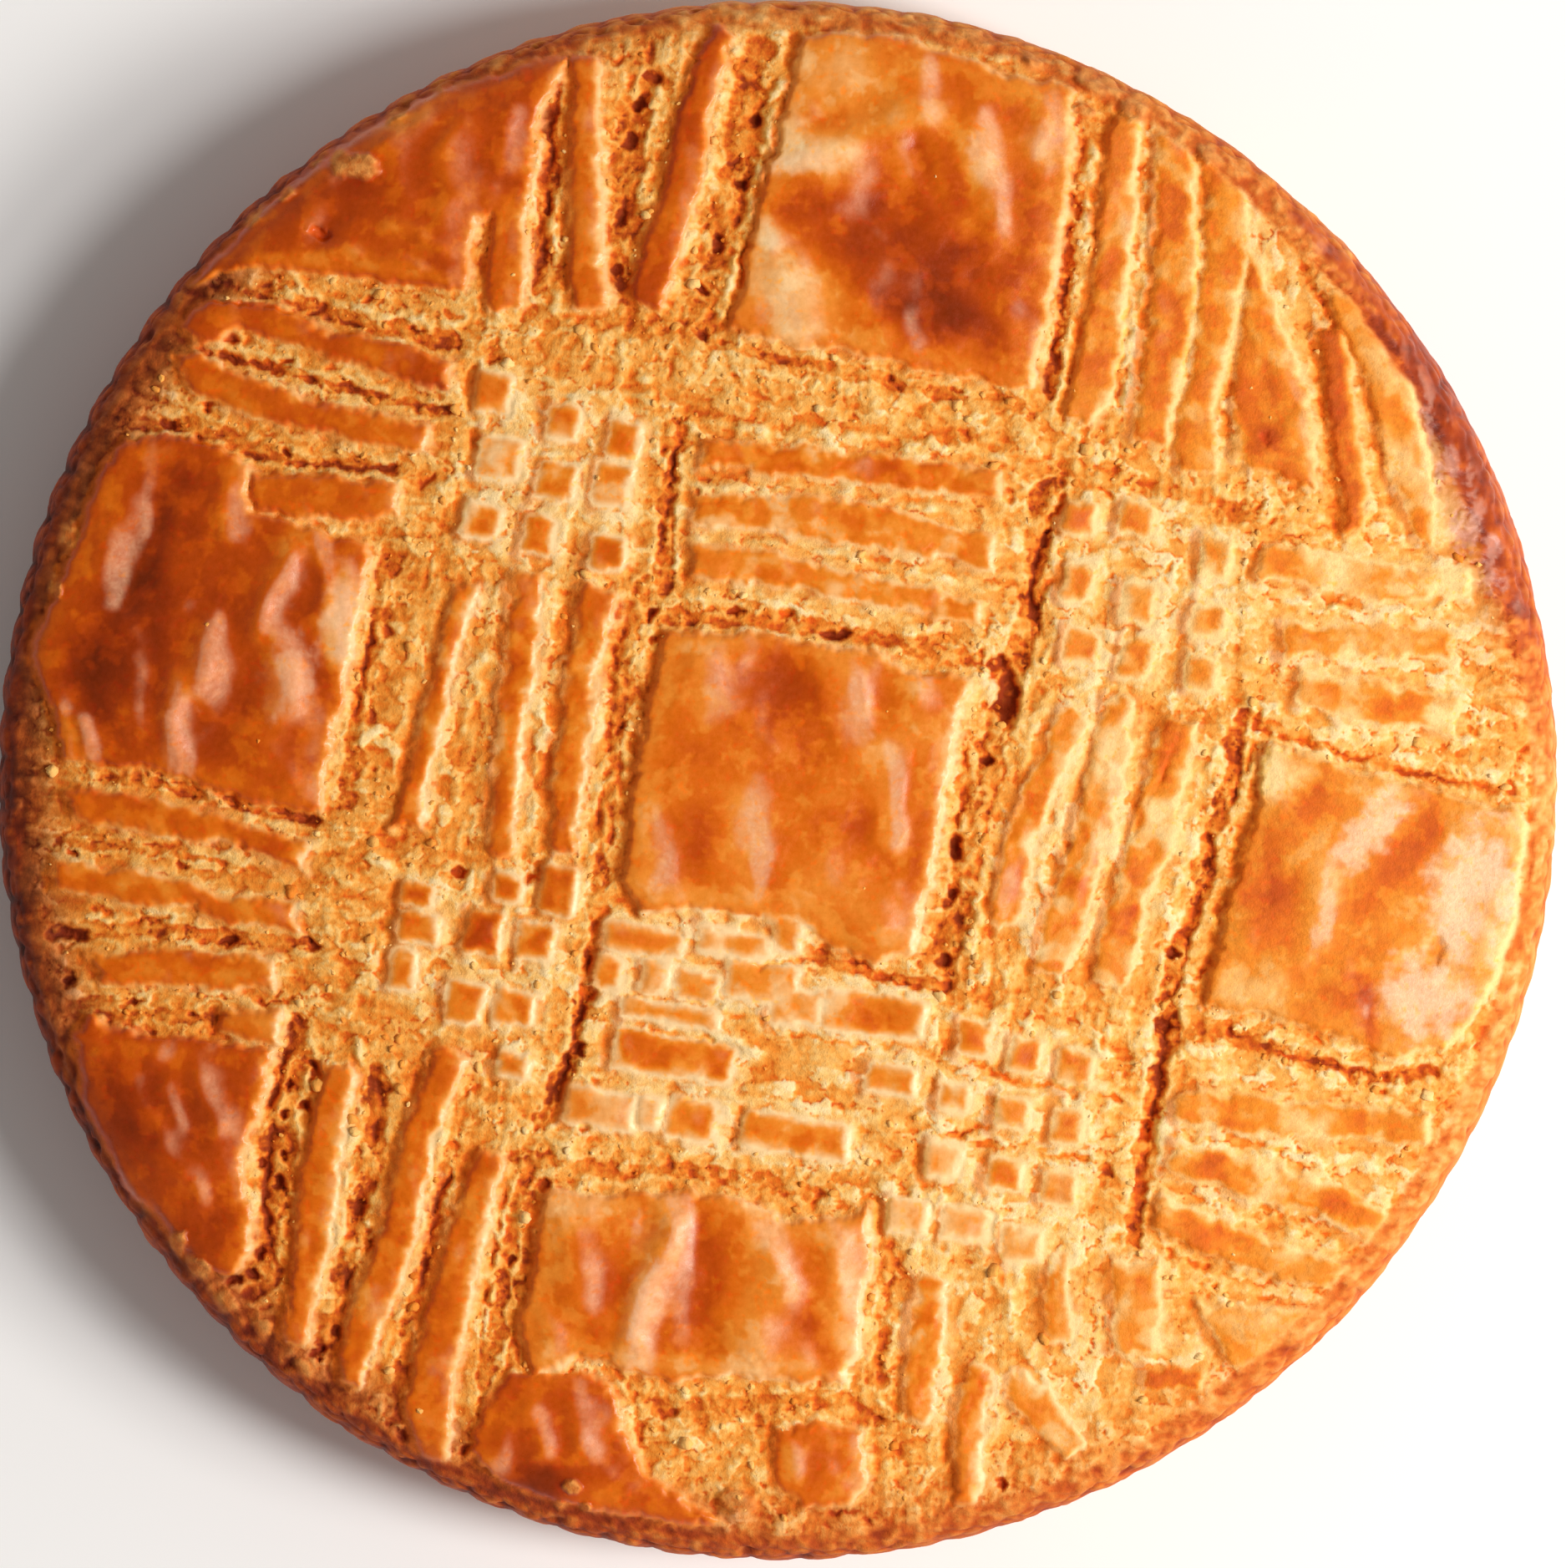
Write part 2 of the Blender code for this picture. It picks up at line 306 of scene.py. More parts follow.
# ------------------------------------------------------------ glazed islands
# Each patch: outline, how high it stands (1 = normal) and how browned (0..1).
PATCHES = {
    "back_left": ([(222, 338), (290, 320), (400, 330), (480, 342), (556, 352), (566, 300), (572, 262), (600, 244), (632, 240), (640, 180), (650, 130), (668, 92), (688, 58), (640, 66), (600, 84), (520, 100), (450, 128), (395, 160), (330, 222), (270, 286)], 1.0, 0.72),
    "back": ([(960, 38), (1050, 35), (1100, 48), (1150, 60), (1200, 85), (1288, 97), (1285, 200), (1270, 300), (1255, 380), (1238, 468), (1160, 455), (1110, 445), (1050, 430), (1000, 420), (900, 405), (872, 395), (890, 330), (905, 250), (930, 170), (945, 100)], 1.1, 0.55),
    "left": ([(145, 525), (200, 520), (260, 530), (300, 560), (300, 610), (345, 620), (380, 635), (440, 650), (448, 665), (430, 740), (415, 820), (400, 880), (385, 975), (330, 965), (260, 950), (205, 925), (130, 918), (75, 910), (60, 850), (35, 790), (45, 750), (70, 690), (100, 620), (110, 580)], 1.1, 0.70),
    "centre": ([(795, 755), (900, 755), (960, 765), (1050, 780), (1090, 800), (1165, 812), (1150, 870), (1135, 940), (1130, 1000), (1095, 1145), (1050, 1150), (1000, 1140), (980, 1125), (950, 1110), (890, 1100), (830, 1090), (765, 1095), (745, 1050), (755, 940), (770, 870), (785, 800)], 1.1, 0.50),
    "right": ([(1515, 890), (1657, 930), (1751, 953), (1831, 971), (1830, 1040), (1820, 1100), (1800, 1170), (1770, 1220), (1733, 1256), (1671, 1270), (1604, 1240), (1510, 1215), (1443, 1203), (1450, 1160), (1461, 1113), (1475, 1060), (1500, 980)], 1.05, 0.46),
    "front_left": ([(100, 1215), (130, 1228), (180, 1238), (265, 1250), (330, 1250), (315, 1310), (300, 1360), (290, 1400), (295, 1450), (300, 1500), (280, 1528), (240, 1520), (200, 1480), (180, 1450), (140, 1430), (134, 1400), (98, 1324), (85, 1240)], 1.0, 0.78),
    "front": ([(650, 1425), (760, 1430), (830, 1425), (895, 1436), (939, 1463), (1015, 1454), (1040, 1440), (1046, 1500), (1035, 1560), (1030, 1620), (1010, 1660), (970, 1655), (854, 1650), (801, 1659), (745, 1640), (690, 1630), (640, 1650), (620, 1600), (635, 1530), (640, 1480)], 1.1, 0.50),
    "front_left_edge": ([(575, 1690), (610, 1645), (690, 1640), (735, 1655), (752, 1725), (775, 1765), (870, 1830), (800, 1826), (700, 1812), (600, 1780), (560, 1740)], 0.9, 0.72),
    "front_edge": ([(930, 1715), (980, 1700), (1035, 1715), (1040, 1770), (1020, 1805), (960, 1812), (925, 1775)], 0.8, 0.62),
    "front_right_facet": ([(1430, 1560), (1585, 1570), (1500, 1655), (1470, 1630)], 0.8, 0.42),
    "back_right_bar": ([(1490, 250), (1515, 330), (1540, 390), (1560, 440), (1575, 500), (1576, 588), (1540, 574), (1505, 560), (1474, 548), (1480, 450), (1492, 350)], 0.95, 0.55),
    "back_right_sheet": ([(1590, 350), (1640, 352), (1665, 392), (1690, 432), (1702, 480), (1715, 540), (1724, 600), (1724, 662), (1700, 642), (1672, 590), (1652, 520), (1635, 450), (1606, 400)], 0.75, 0.42),
    "across_back_left_1": ([(215, 388), (250, 355), (330, 360), (400, 395), (480, 410), (545, 430), (535, 470), (470, 450), (370, 420), (290, 395), (240, 412)], 0.95, 0.74),
    "across_back_left_2": ([(205, 425), (240, 425), (300, 450), (380, 480), (450, 490), (515, 510), (515, 545), (400, 525), (300, 500), (230, 470)], 0.9, 0.68),
    "across_back_left_3": ([(296, 563), (400, 568), (474, 577), (474, 620), (400, 622), (345, 618), (300, 612)], 1.0, 0.62),
    "across_back_mid_1": ([(838, 523), (960, 535), (1100, 550), (1200, 565), (1200, 597), (1000, 575), (838, 560)], 1.0, 0.60),
    "across_back_mid_2": ([(830, 590), (950, 590), (1050, 600), (1110, 625), (1195, 640), (1192, 685), (1110, 665), (930, 640), (830, 630)], 1.0, 0.52),
    "across_back_mid_3": ([(825, 652), (900, 655), (1000, 680), (1180, 720), (1175, 750), (1100, 735), (970, 710), (825, 690)], 1.0, 0.48),
    "down_left_mid_1": ([(545, 700), (580, 700), (545, 810), (515, 930), (505, 990), (468, 990), (495, 890), (510, 830), (525, 770)], 1.0, 0.60),
    "across_front_left_1": ([(70, 945), (150, 945), (200, 962), (260, 975), (370, 1010), (365, 1045), (290, 1015), (200, 1000), (90, 985)], 0.9, 0.62),
    "across_front_left_2": ([(60, 1030), (140, 1040), (225, 1055), (262, 1070), (360, 1080), (358, 1115), (270, 1108), (225, 1090), (150, 1082), (60, 1065)], 0.9, 0.60),
    "across_front_left_3": ([(100, 1140), (200, 1135), (250, 1138), (330, 1150), (330, 1185), (225, 1185), (120, 1178)], 0.9, 0.60),
    "across_front_left_4": ([(265, 1205), (338, 1210), (335, 1248), (262, 1240)], 0.7, 0.55),
}

# Each bar: places (u, v, width), height and browning.
BARS = {
    "back_left_1": ([(608, 236, 44), (608, 290, 46), (606, 352, 44)], 1.0, 0.60),
    "back_left_2": ([(700, 75, 34), (702, 200, 36), (701, 320, 38), (706, 350, 50)], 1.0, 0.62),
    "back_left_3": ([(864, 38, 26), (842, 100, 40), (829, 150, 42), (821, 200, 43), (810, 250, 44), (792, 300, 45), (778, 350, 44)], 1.05, 0.74),
    "back_right_1": ([(1350, 150, 36), (1342, 200, 38), (1338, 255, 42), (1335, 300, 40), (1329, 350, 42), (1322, 400, 45), (1312, 450, 43), (1297, 492, 38)], 0.95, 0.52),
    "back_right_2": ([(1408, 175, 42), (1411, 250, 47), (1407, 350, 53), (1402, 400, 53), (1392, 450, 44), (1380, 512, 42)], 0.95, 0.52),
    "back_right_3": ([(1458, 190, 36), (1472, 225, 45), (1472, 300, 53), (1462, 350, 45), (1456, 400, 43), (1446, 450, 37), (1432, 500, 40), (1434, 545, 44)], 0.9, 0.50),
    "back_right_5": ([(1598, 400, 28), (1606, 450, 34), (1612, 520, 34), (1622, 580, 34), (1622, 628, 24)], 0.85, 0.66),
    "down_left_mid_2": ([(632, 702, 34), (622, 800, 34), (609, 900, 30), (602, 1012, 28)], 1.0, 0.60),
    "down_left_mid_3": ([(716, 722, 46), (700, 800, 34), (685, 900, 34), (676, 1008, 32)], 1.0, 0.56),
    "across_back_right_1": ([(1520, 672, 40), (1600, 684, 42), (1680, 698, 42), (1752, 698, 30)], 0.85, 0.30),
    "across_back_right_2": ([(1552, 766, 34), (1640, 768, 36), (1728, 768, 34)], 0.85, 0.34),
    "across_back_right_3": ([(1566, 828, 34), (1650, 838, 44), (1732, 856, 40)], 0.85, 0.34),
    "down_right_mid_1": ([(1284, 868, 38), (1246, 950, 34), (1222, 1020, 34), (1206, 1092, 42)], 0.95, 0.38),
    "down_right_mid_2": ([(1340, 850, 32), (1324, 930, 38), (1308, 1010, 40), (1278, 1090, 42), (1262, 1150, 36)], 0.95, 0.40),
    "down_right_mid_3": ([(1412, 880, 42), (1394, 960, 46), (1374, 1025, 46), (1348, 1090, 44), (1332, 1164, 42)], 0.95, 0.42),
    "front_left_1": ([(405, 1290, 38), (395, 1340, 42), (382, 1400, 45), (378, 1450, 45), (371, 1500, 43), (360, 1550, 40), (352, 1600, 30)], 0.95, 0.56),
    "front_left_2": ([(540, 1270, 38), (505, 1350, 40), (495, 1400, 42), (484, 1450, 42), (470, 1500, 42), (450, 1550, 42), (432, 1600, 40), (420, 1650, 30)], 1.0, 0.60),
    "front_left_3": ([(584, 1398, 38), (567, 1450, 42), (552, 1500, 44), (540, 1550, 46), (525, 1620, 52), (512, 1680, 58), (518, 1738, 40)], 1.0, 0.58),
    "front_right_1": ([(1114, 1548, 34), (1110, 1620, 44), (1100, 1688, 30)], 0.85, 0.50),
    "front_right_2": ([(1172, 1650, 30), (1164, 1720, 36), (1156, 1796, 28)], 0.8, 0.52),
    "front_right_3": ([(1268, 1512, 28), (1266, 1560, 34), (1272, 1600, 28)], 0.75, 0.42),
    "front_right_4": ([(1362, 1534, 60), (1366, 1600, 52)], 0.8, 0.40),
    "front_right_5": ([(1222, 1662, 34), (1250, 1690, 42), (1282, 1732, 34)], 0.7, 0.44),
    "front_right_6": ([(1380, 1652, 26), (1436, 1656, 22)], 0.6, 0.60),
    "across_front_right_1": ([(1428, 1322, 36), (1500, 1336, 40), (1600, 1342, 36), (1700, 1350, 36)], 0.85, 0.40),
    "across_front_right_2": ([(1420, 1390, 38), (1500, 1412, 40), (1600, 1440, 34), (1648, 1466, 34)], 0.85, 0.42),
    "across_front_right_3": ([(1400, 1458, 40), (1480, 1492, 42), (1560, 1518, 36), (1612, 1532, 34)], 0.85, 0.42),
}

# Each small square or broken slab: (low u, low v, high u, high v), browning.
BLOCKS = [
    ((570, 448, 612, 492), 0.58), ((655, 487, 695, 528), 0.56), ((728, 505, 768, 548), 0.58),
    ((575, 525, 625, 573), 0.44), ((645, 555, 690, 597), 0.50), ((713, 555, 755, 607), 0.46),
    ((555, 605, 598, 645), 0.50), ((628, 620, 665, 665), 0.58), ((710, 642, 748, 682), 0.60),
    ((1275, 603, 1312, 638), 0.58), ((1343, 603, 1382, 640), 0.56), ((1438, 645, 1475, 688), 0.42),
    ((1275, 680, 1310, 718), 0.52), ((1345, 700, 1385, 743), 0.52), ((1428, 725, 1468, 762), 0.40),
    ((1275, 755, 1318, 795), 0.48), ((1342, 765, 1382, 812), 0.50), ((1420, 788, 1460, 825), 0.48),
    ((480, 1058, 520, 1084), 0.66), ((480, 1095, 525, 1130), 0.62), ((592, 1050, 626, 1080), 0.60),
    ((650, 1040, 690, 1094), 0.64), ((560, 1092, 600, 1142), 0.84), ((620, 1106, 664, 1148), 0.62),
    ((468, 1138, 500, 1184), 0.52), ((535, 1176, 580, 1224), 0.56), ((594, 1186, 640, 1226), 0.56),
    ((596, 1262, 632, 1290), 0.50),
    ((725, 1110, 820, 1142), 0.48), ((835, 1114, 925, 1146), 0.34), ((925, 1096, 960, 1140), 0.40),
    ((715, 1146, 745, 1186), 0.52), ((768, 1150, 802, 1190), 0.50), ((810, 1164, 862, 1200), 0.42),
    ((868, 1152, 958, 1198), 0.38), ((745, 1202, 862, 1226), 0.40), ((735, 1242, 880, 1288), 0.60),
    ((985, 1192, 1108, 1238), 0.56), ((925, 1182, 984, 1228), 0.34), ((680, 1306, 760, 1350), 0.42),
    ((765, 1314, 792, 1350), 0.26), ((800, 1316, 860, 1364), 0.50), ((890, 1340, 1018, 1380), 0.52),
    ((1038, 1276, 1100, 1310), 0.46),
    ((1148, 1222, 1187, 1262), 0.60), ((1210, 1244, 1250, 1282), 0.56), ((1268, 1258, 1310, 1300), 0.54),
    ((1124, 1296, 1162, 1330), 0.50), ((1193, 1314, 1235, 1350), 0.50), ((1260, 1330, 1298, 1368), 0.50),
    ((1110, 1372, 1150, 1410), 0.36), ((1184, 1388, 1225, 1425), 0.50), ((1250, 1406, 1290, 1440), 0.48),
    ((1062, 1436, 1110, 1476), 0.34), ((1126, 1446, 1186, 1486), 0.32), ((1200, 1470, 1250, 1510), 0.36),
]

skin = np.full(U.shape, -45.0)  # signed distance to the nearest island's edge
level = np.full(U.shape, 0.9)
brown = np.full(U.shape, 0.5)


tile = np.zeros(U.shape)  # 1 on and close to the small squares


def add_island(distance, place, height, browning):
    over = distance > skin[place]
    skin[place][over] = distance[over]
    level[place][over] = height
    brown[place][over] = browning


for outline, height, browning in PATCHES.values():
    place = window(outline, 60)
    add_island(inside_polygon(outline, UW[place], VW[place]), place, height, browning)
for line, height, browning in BARS.values():
    place = window(line, 90)
    around = 3.0 + 3.0 * pressed[place] + 4.0 * pressed[place] * noise(U[place] / 26, V[place] / 26, 13)
    add_island(inside_bar(line, UW[place], VW[place]) + around - 2.0, place, height, browning + 0.03)
for k, ((lu, lv, hu, hv), browning) in enumerate(BLOCKS):
    place = window([(lu, lv), (hu, hv)], 60)
    height = 0.80 + 0.16 * math.sin(k * 2.4)
    distance = inside_block(lu - 4, lv - 4, hu + 4, hv + 4, 0.5 * (U[place] + UW[place]), 0.5 * (V[place] + VW[place]))
    tile[place] = np.maximum(tile[place], step(-18, -12, distance))
    add_island(distance, place, height, browning + 0.04)

near_skin = np.clip(step(-34, -18, skin), 0.001, 1)
level = blur(level * near_skin, 5) / blur(near_skin, 5)
brown = blur(brown * near_skin, 7) / blur(near_skin, 7)

skin += (2.0 + 5.0 * pressed) * (flake_own - 0.5) * flake_flat * (1 - step(10, 26, skin)) * step(-34, -14, skin)

# Outward direction across an island's edge.
soft = blur(skin, 4.0)
gu, gv = np.gradient(soft, STEP, axis=1), np.gradient(soft, STEP, axis=0)
length = np.hypot(gu, gv) + 0.05
right_side = np.clip(-gu / length, 0, 1)
left_side = np.clip(gu / length, 0, 1)
front_side = np.clip(-gv / length, 0, 1)

# Width of the slope outside the edge.
flank = (5.0 + 4.0 * pressed + 3.0 * right_side + 3.0 * right_side * pressed + 1.0 * tile) * (1 + 0.45 * noise(U / 27, V / 27, 9))
rise = step(0, 1, (skin + flank) / (flank + 8.0 + 3.0 * pressed))
cover = step(0, 1, (skin + 2.0 + 3.0 * pressed) / (4.0 + 6.0 * pressed))  # 1 where the surface is glazed skin

# ------------------------------------------------------------ skin's relief
# Soft folds and blisters: line, half width, height in mm.
FOLDS = [
    ([(368, 630), (338, 680), (306, 748)], 19, 0.58), ([(384, 640), (392, 724)], 14, 0.40), ([(420, 690), (410, 800)], 15, 0.34),
    ([(252, 752), (240, 820)], 19, 0.52), ([(212, 820), (206, 880), (202, 940)], 17, 0.62), ([(336, 770), (340, 846)], 26, 0.50),
    ([(76, 850), (84, 912)], 9, 0.42), ([(98, 862), (106, 912)], 9, 0.38), ([(160, 560), (130, 640), (96, 720)], 28, 0.16),
    ([(186, 610), (150, 720)], 20, -0.30), ([(280, 560), (270, 640)], 18, 0.24), ([(150, 760), (160, 860)], 26, 0.26), ([(300, 880), (350, 930)], 24, 0.22),
    ([(925, 196), (1000, 178), (1060, 150), (1100, 138)], 24, 0.48), ([(938, 150), (930, 190)], 20, 0.30),
    ([(904, 270), (912, 292)], 20, 0.36), ([(950, 335), (960, 390)], 28, 0.42), ([(1168, 140), (1176, 200), (1196, 262)], 24, 0.44),
    ([(1100, 170), (1122, 236)], 16, -0.30), ([(1060, 250), (1130, 330), (1190, 400)], 42, -0.40), ([(1250, 130), (1244, 300)], 16, 0.26),
    ([(1010, 90), (1100, 84)], 22, 0.26), ([(1086, 390), (1092, 410)], 12, 0.20), ([(1215, 330), (1205, 420)], 22, 0.20),
    ([(836, 788), (846, 850)], 24, 0.46), ([(1012, 830), (1030, 896)], 26, 0.56), ([(940, 800), (945, 900)], 38, -0.30),
    ([(1062, 900), (1062, 1004)], 20, 0.58), ([(780, 970), (786, 1040)], 20, 0.42), ([(888, 960), (890, 1020)], 24, 0.50),
    ([(896, 1030), (900, 1060)], 15, 0.34), ([(1090, 800), (1098, 826)], 14, 0.36), ([(780, 1060), (810, 1080)], 16, 0.24), ([(980, 1050), (1040, 1100)], 28, 0.22),
    ([(1672, 950), (1616, 996), (1578, 1044), (1574, 1130)], 24, 0.44), ([(1712, 962), (1672, 1012), (1634, 1084)], 20, -0.12),
    ([(1782, 985), (1742, 1050), (1714, 1120)], 32, 0.34), ([(1800, 1090), (1784, 1180)], 26, 0.26), ([(1524, 905), (1516, 950)], 20, 0.40),
    ([(1556, 1156), (1500, 1176)], 20, 0.36), ([(1612, 1160), (1590, 1200)], 18, 0.30), ([(1630, 1150), (1646, 1256)], 15, -0.18),
    ([(1662, 1150), (1678, 1256)], 18, 0.26), ([(1720, 1170), (1700, 1240)], 22, 0.24), ([(1470, 1080), (1490, 1130)], 18, 0.26),
    ([(800, 1424), (806, 1480), (778, 1530), (762, 1590), (752, 1640)], 19, 0.82), ([(930, 1470), (920, 1540), (906, 1620)], 36, 0.50),
    ([(840, 1470), (834, 1600)], 20, -0.34), ([(922, 1500), (958, 1572)], 17, 0.24), ([(960, 1580), (990, 1636)], 18, -0.14),
    ([(1000, 1480), (1012, 1560)], 20, 0.36), ([(680, 1460), (690, 1560)], 26, 0.36), ([(880, 1440), (900, 1450)], 20, 0.24), ([(640, 1560), (660, 1600)], 18, 0.24),
    ([(640, 1700), (650, 1740)], 20, 0.44), ([(690, 1690), (700, 1730)], 18, 0.36), ([(600, 1720), (580, 1760)], 18, 0.30), ([(948, 1740), (950, 1762)], 14, 0.40),
    ([(390, 200), (440, 170), (500, 132)], 20, 0.30), ([(470, 170), (480, 230)], 26, 0.36), ([(540, 180), (530, 250)], 24, 0.32), ([(520, 200), (560, 150)], 16, 0.24),
    ([(300, 310), (420, 304), (540, 336)], 13, 0.34), ([(470, 270), (540, 300)], 14, 0.30), ([(600, 130), (610, 190)], 16, 0.26), ([(400, 260), (380, 300)], 18, -0.26),
    ([(150, 1290), (180, 1350), (230, 1430)], 20, 0.32), ([(240, 1290), (262, 1350)], 18, 0.34), ([(196, 1300), (215, 1342)], 14, 0.28), ([(120, 1260), (180, 1256)], 14, 0.24),
    ([(1508, 372), (1504, 430)], 16, 0.40), ([(1556, 500), (1566, 580)], 13, 0.46), ([(1530, 400), (1548, 470)], 12, 0.34), ([(1640, 400), (1680, 480)], 18, 0.36),
    ([(1660, 520), (1700, 600)], 16, 0.34), ([(1352, 1560), (1356, 1580)], 16, 0.34), ([(1500, 1590), (1520, 1600)], 20, 0.3),
    ([(1300, 200), (1296, 330)], 10, 0.0), ([(1230, 980), (1190, 1080)], 12, 0.30), ([(1334, 920), (1310, 1010), (1290, 1080)], 10, 0.30), ([(1404, 1000), (1364, 1120)], 10, 0.24),
]

relief = 0.28 * noise(U / 84, V / 84, 30) + 0.07 * noise(U / 40, V / 40, 34) + 0.025 * noise(U / 19, V / 19, 35) + 0.006 * noise(U / 8, V / 8, 37)
blister, _, own = cells(U / 30 + 0.3 * noise(U / 20, V / 20, 38), V / 30, 39)
relief += 0.07 * (own > 0.72) * (1 - step(0.0, 0.5, blister))
for line, wide, tall in FOLDS:
    place = window(line, 3 * wide + 20)
    lift = 1.0 - 0.40 * (line[0][0] - CENTRE_U) / 900
    d = along(line, U[place] + 9 * noise(U[place] / 52, V[place] / 52, 40), V[place] + 9 * noise(U[place] / 52, V[place] / 52, 42))
    relief[place] += tall * lift * np.exp(-((d / wide) ** 2))
big = step(8, 42, skin)
dome = 0.16 * (1 - 0.5 * pressed) * (1 - np.exp(-np.clip(skin, 0, 60) / 13))
skin_height = (level * SKIN_RISE * (1 - 0.58 * pressed) + dome) * rise + (relief * (0.25 + 0.75 * big) + pressed * (1 - big) * (0.11 * noise(U / 24, V / 24, 31) + 0.07 * (flake_own - 0.5) * flake_flat)) * cover

# -------------------------------------------------------------- rough crumb
lean_a, lean_b = math.radians(11), math.radians(99)


def streaks(angle, seed, long=46.0, wide=10.0):
    """Noise drawn out along a stroke."""
    c, s = math.cos(angle), math.sin(angle)
    return fbm((U * c + V * s) / long, (V * c - U * s) / wide, seed, 3, 0.55)


streak = stroke_a * (1 - 0.5 * stroke_b) * streaks(lean_a, 50) + stroke_b * (1 - 0.5 * stroke_a) * streaks(lean_b, 56)
near_a, near_b, own_a = cells(U / 13.5 + 0.35 * noise(U / 9, V / 9, 60), V / 12.5, 61)
near_c, near_d, own_c = cells(U / 6.6, V / 6.6 + 0.3 * noise(U / 5, V / 5, 62), 63)
clump, clump_b, own_d = cells(U / 27 + 0.5 * noise(U / 19, V / 19, 64), V / 24, 65)
rough = fbm(U / 46, V / 46, 70, 5, 0.56)
crag = 1 - np.abs(fbm(U / 34, V / 34, 76, 3, 0.5))



def ledges(a, count, low=0.30, high=0.62):
    """Turns soft hills into torn ledges with short steep steps."""
    a = a * count
    whole = np.floor(a)
    return (whole + step(low, high, a - whole)) / count


torn = ledges(rough + 0.55 * streak + 0.10 * noise(U / 9, V / 9, 74), 2.6)
loose = 1 - 0.82 * pressed
crumb = 0.24 * torn + 0.06 * rough + 0.05 * crag
crumb += 0.04 * (step(0.0, 0.55, near_b - near_a) - 0.5) + 0.05 * (own_a - 0.5)
crumb += 0.015 * (step(0.0, 0.6, near_d - near_c) - 0.5) + 0.02 * (own_c - 0.5)
crumb += 0.26 * (flake_own - 0.5) * flake_flat - 0.13 * flake_gap
crumb += 0.08 * (step(0.0, 0.35, clump_b - clump) - 0.7) + 0.10 * (own_d - 0.5)
# Pressed dough: soft lobes, small blobs and hairline tears.
lobe = ledges(fbm(U / 58 + 0.3 * streak, V / 58, 72, 4, 0.55), 3.0, 0.25, 0.75)
hair = 1 - step(0.0, 0.10, np.abs(noise(U / 34 + 0.5 * rough, V / 34, 75) + 0.25 * noise(U / 8, V / 8, 77)))
hair *= step(0.05, 0.35, noise(U / 47, V / 47, 78))
blob = (own_a > 0.62) * (1 - step(0.10, 0.42, near_a))
chip = (own_d - 0.5) * step(0.0, 0.14, clump_b - clump)
soft_dough = 0.04 + 0.20 * lobe + 0.04 * noise(U / 15, V / 15, 71) + 0.015 * noise(U / 7, V / 7, 73) + 0.08 * blob - 0.07 * hair + 0.06 * chip + 0.30 * (flake_own - 0.5) * flake_flat - 0.22 * flake_gap
crumb = crumb * loose + pressed * soft_dough

# Grooves that the tines drew.
groove = np.zeros(U.shape)
for name, offset in OFFSETS.items():
    waver = offset + 5 * noise(U / 60, V / 60, 80)
    for k in (-1.5, -0.5, 0.5, 1.5):
        groove = np.maximum(groove, np.exp(-(((waver - k * PITCH) / 12.0) ** 2)))
crumb -= 0.20 * groove * (0.65 + 0.5 * noise(U / 40, V / 40, 81))
crumb -= 0.30 * np.exp(-(((skin + 9) / 5) ** 2)) * (0.15 + 0.85 * left_side) * step(-0.15, 0.35, noise(U / 30, V / 30, 88)) * (1 - 0.7 * pressed)

# Pits: scattered, and closer together where the stroke tore the dough.
pit_near, _, pit_own = cells(U / 33 + 0.4 * noise(U / 16, V / 16, 82), V / 31 + 0.4 * noise(U / 16, V / 16, 83), 84)
pit = (pit_own > 0.78) * (1 - step(0.05, 0.22 + 0.14 * (pit_own - 0.5), pit_near + 0.10 * noise(U / 6, V / 6, 89)))
small_near, _, small_own = cells(U / 15, V / 15, 85)
small_pit = (small_own > 0.86) * (1 - step(0.05, 0.30, small_near))
crumb -= (0.45 * pit + 0.16 * small_pit) * (1 - step(0.15, 0.6, pressed)) * step(-0.2, 0.3, noise(U / 60, V / 60, 182))

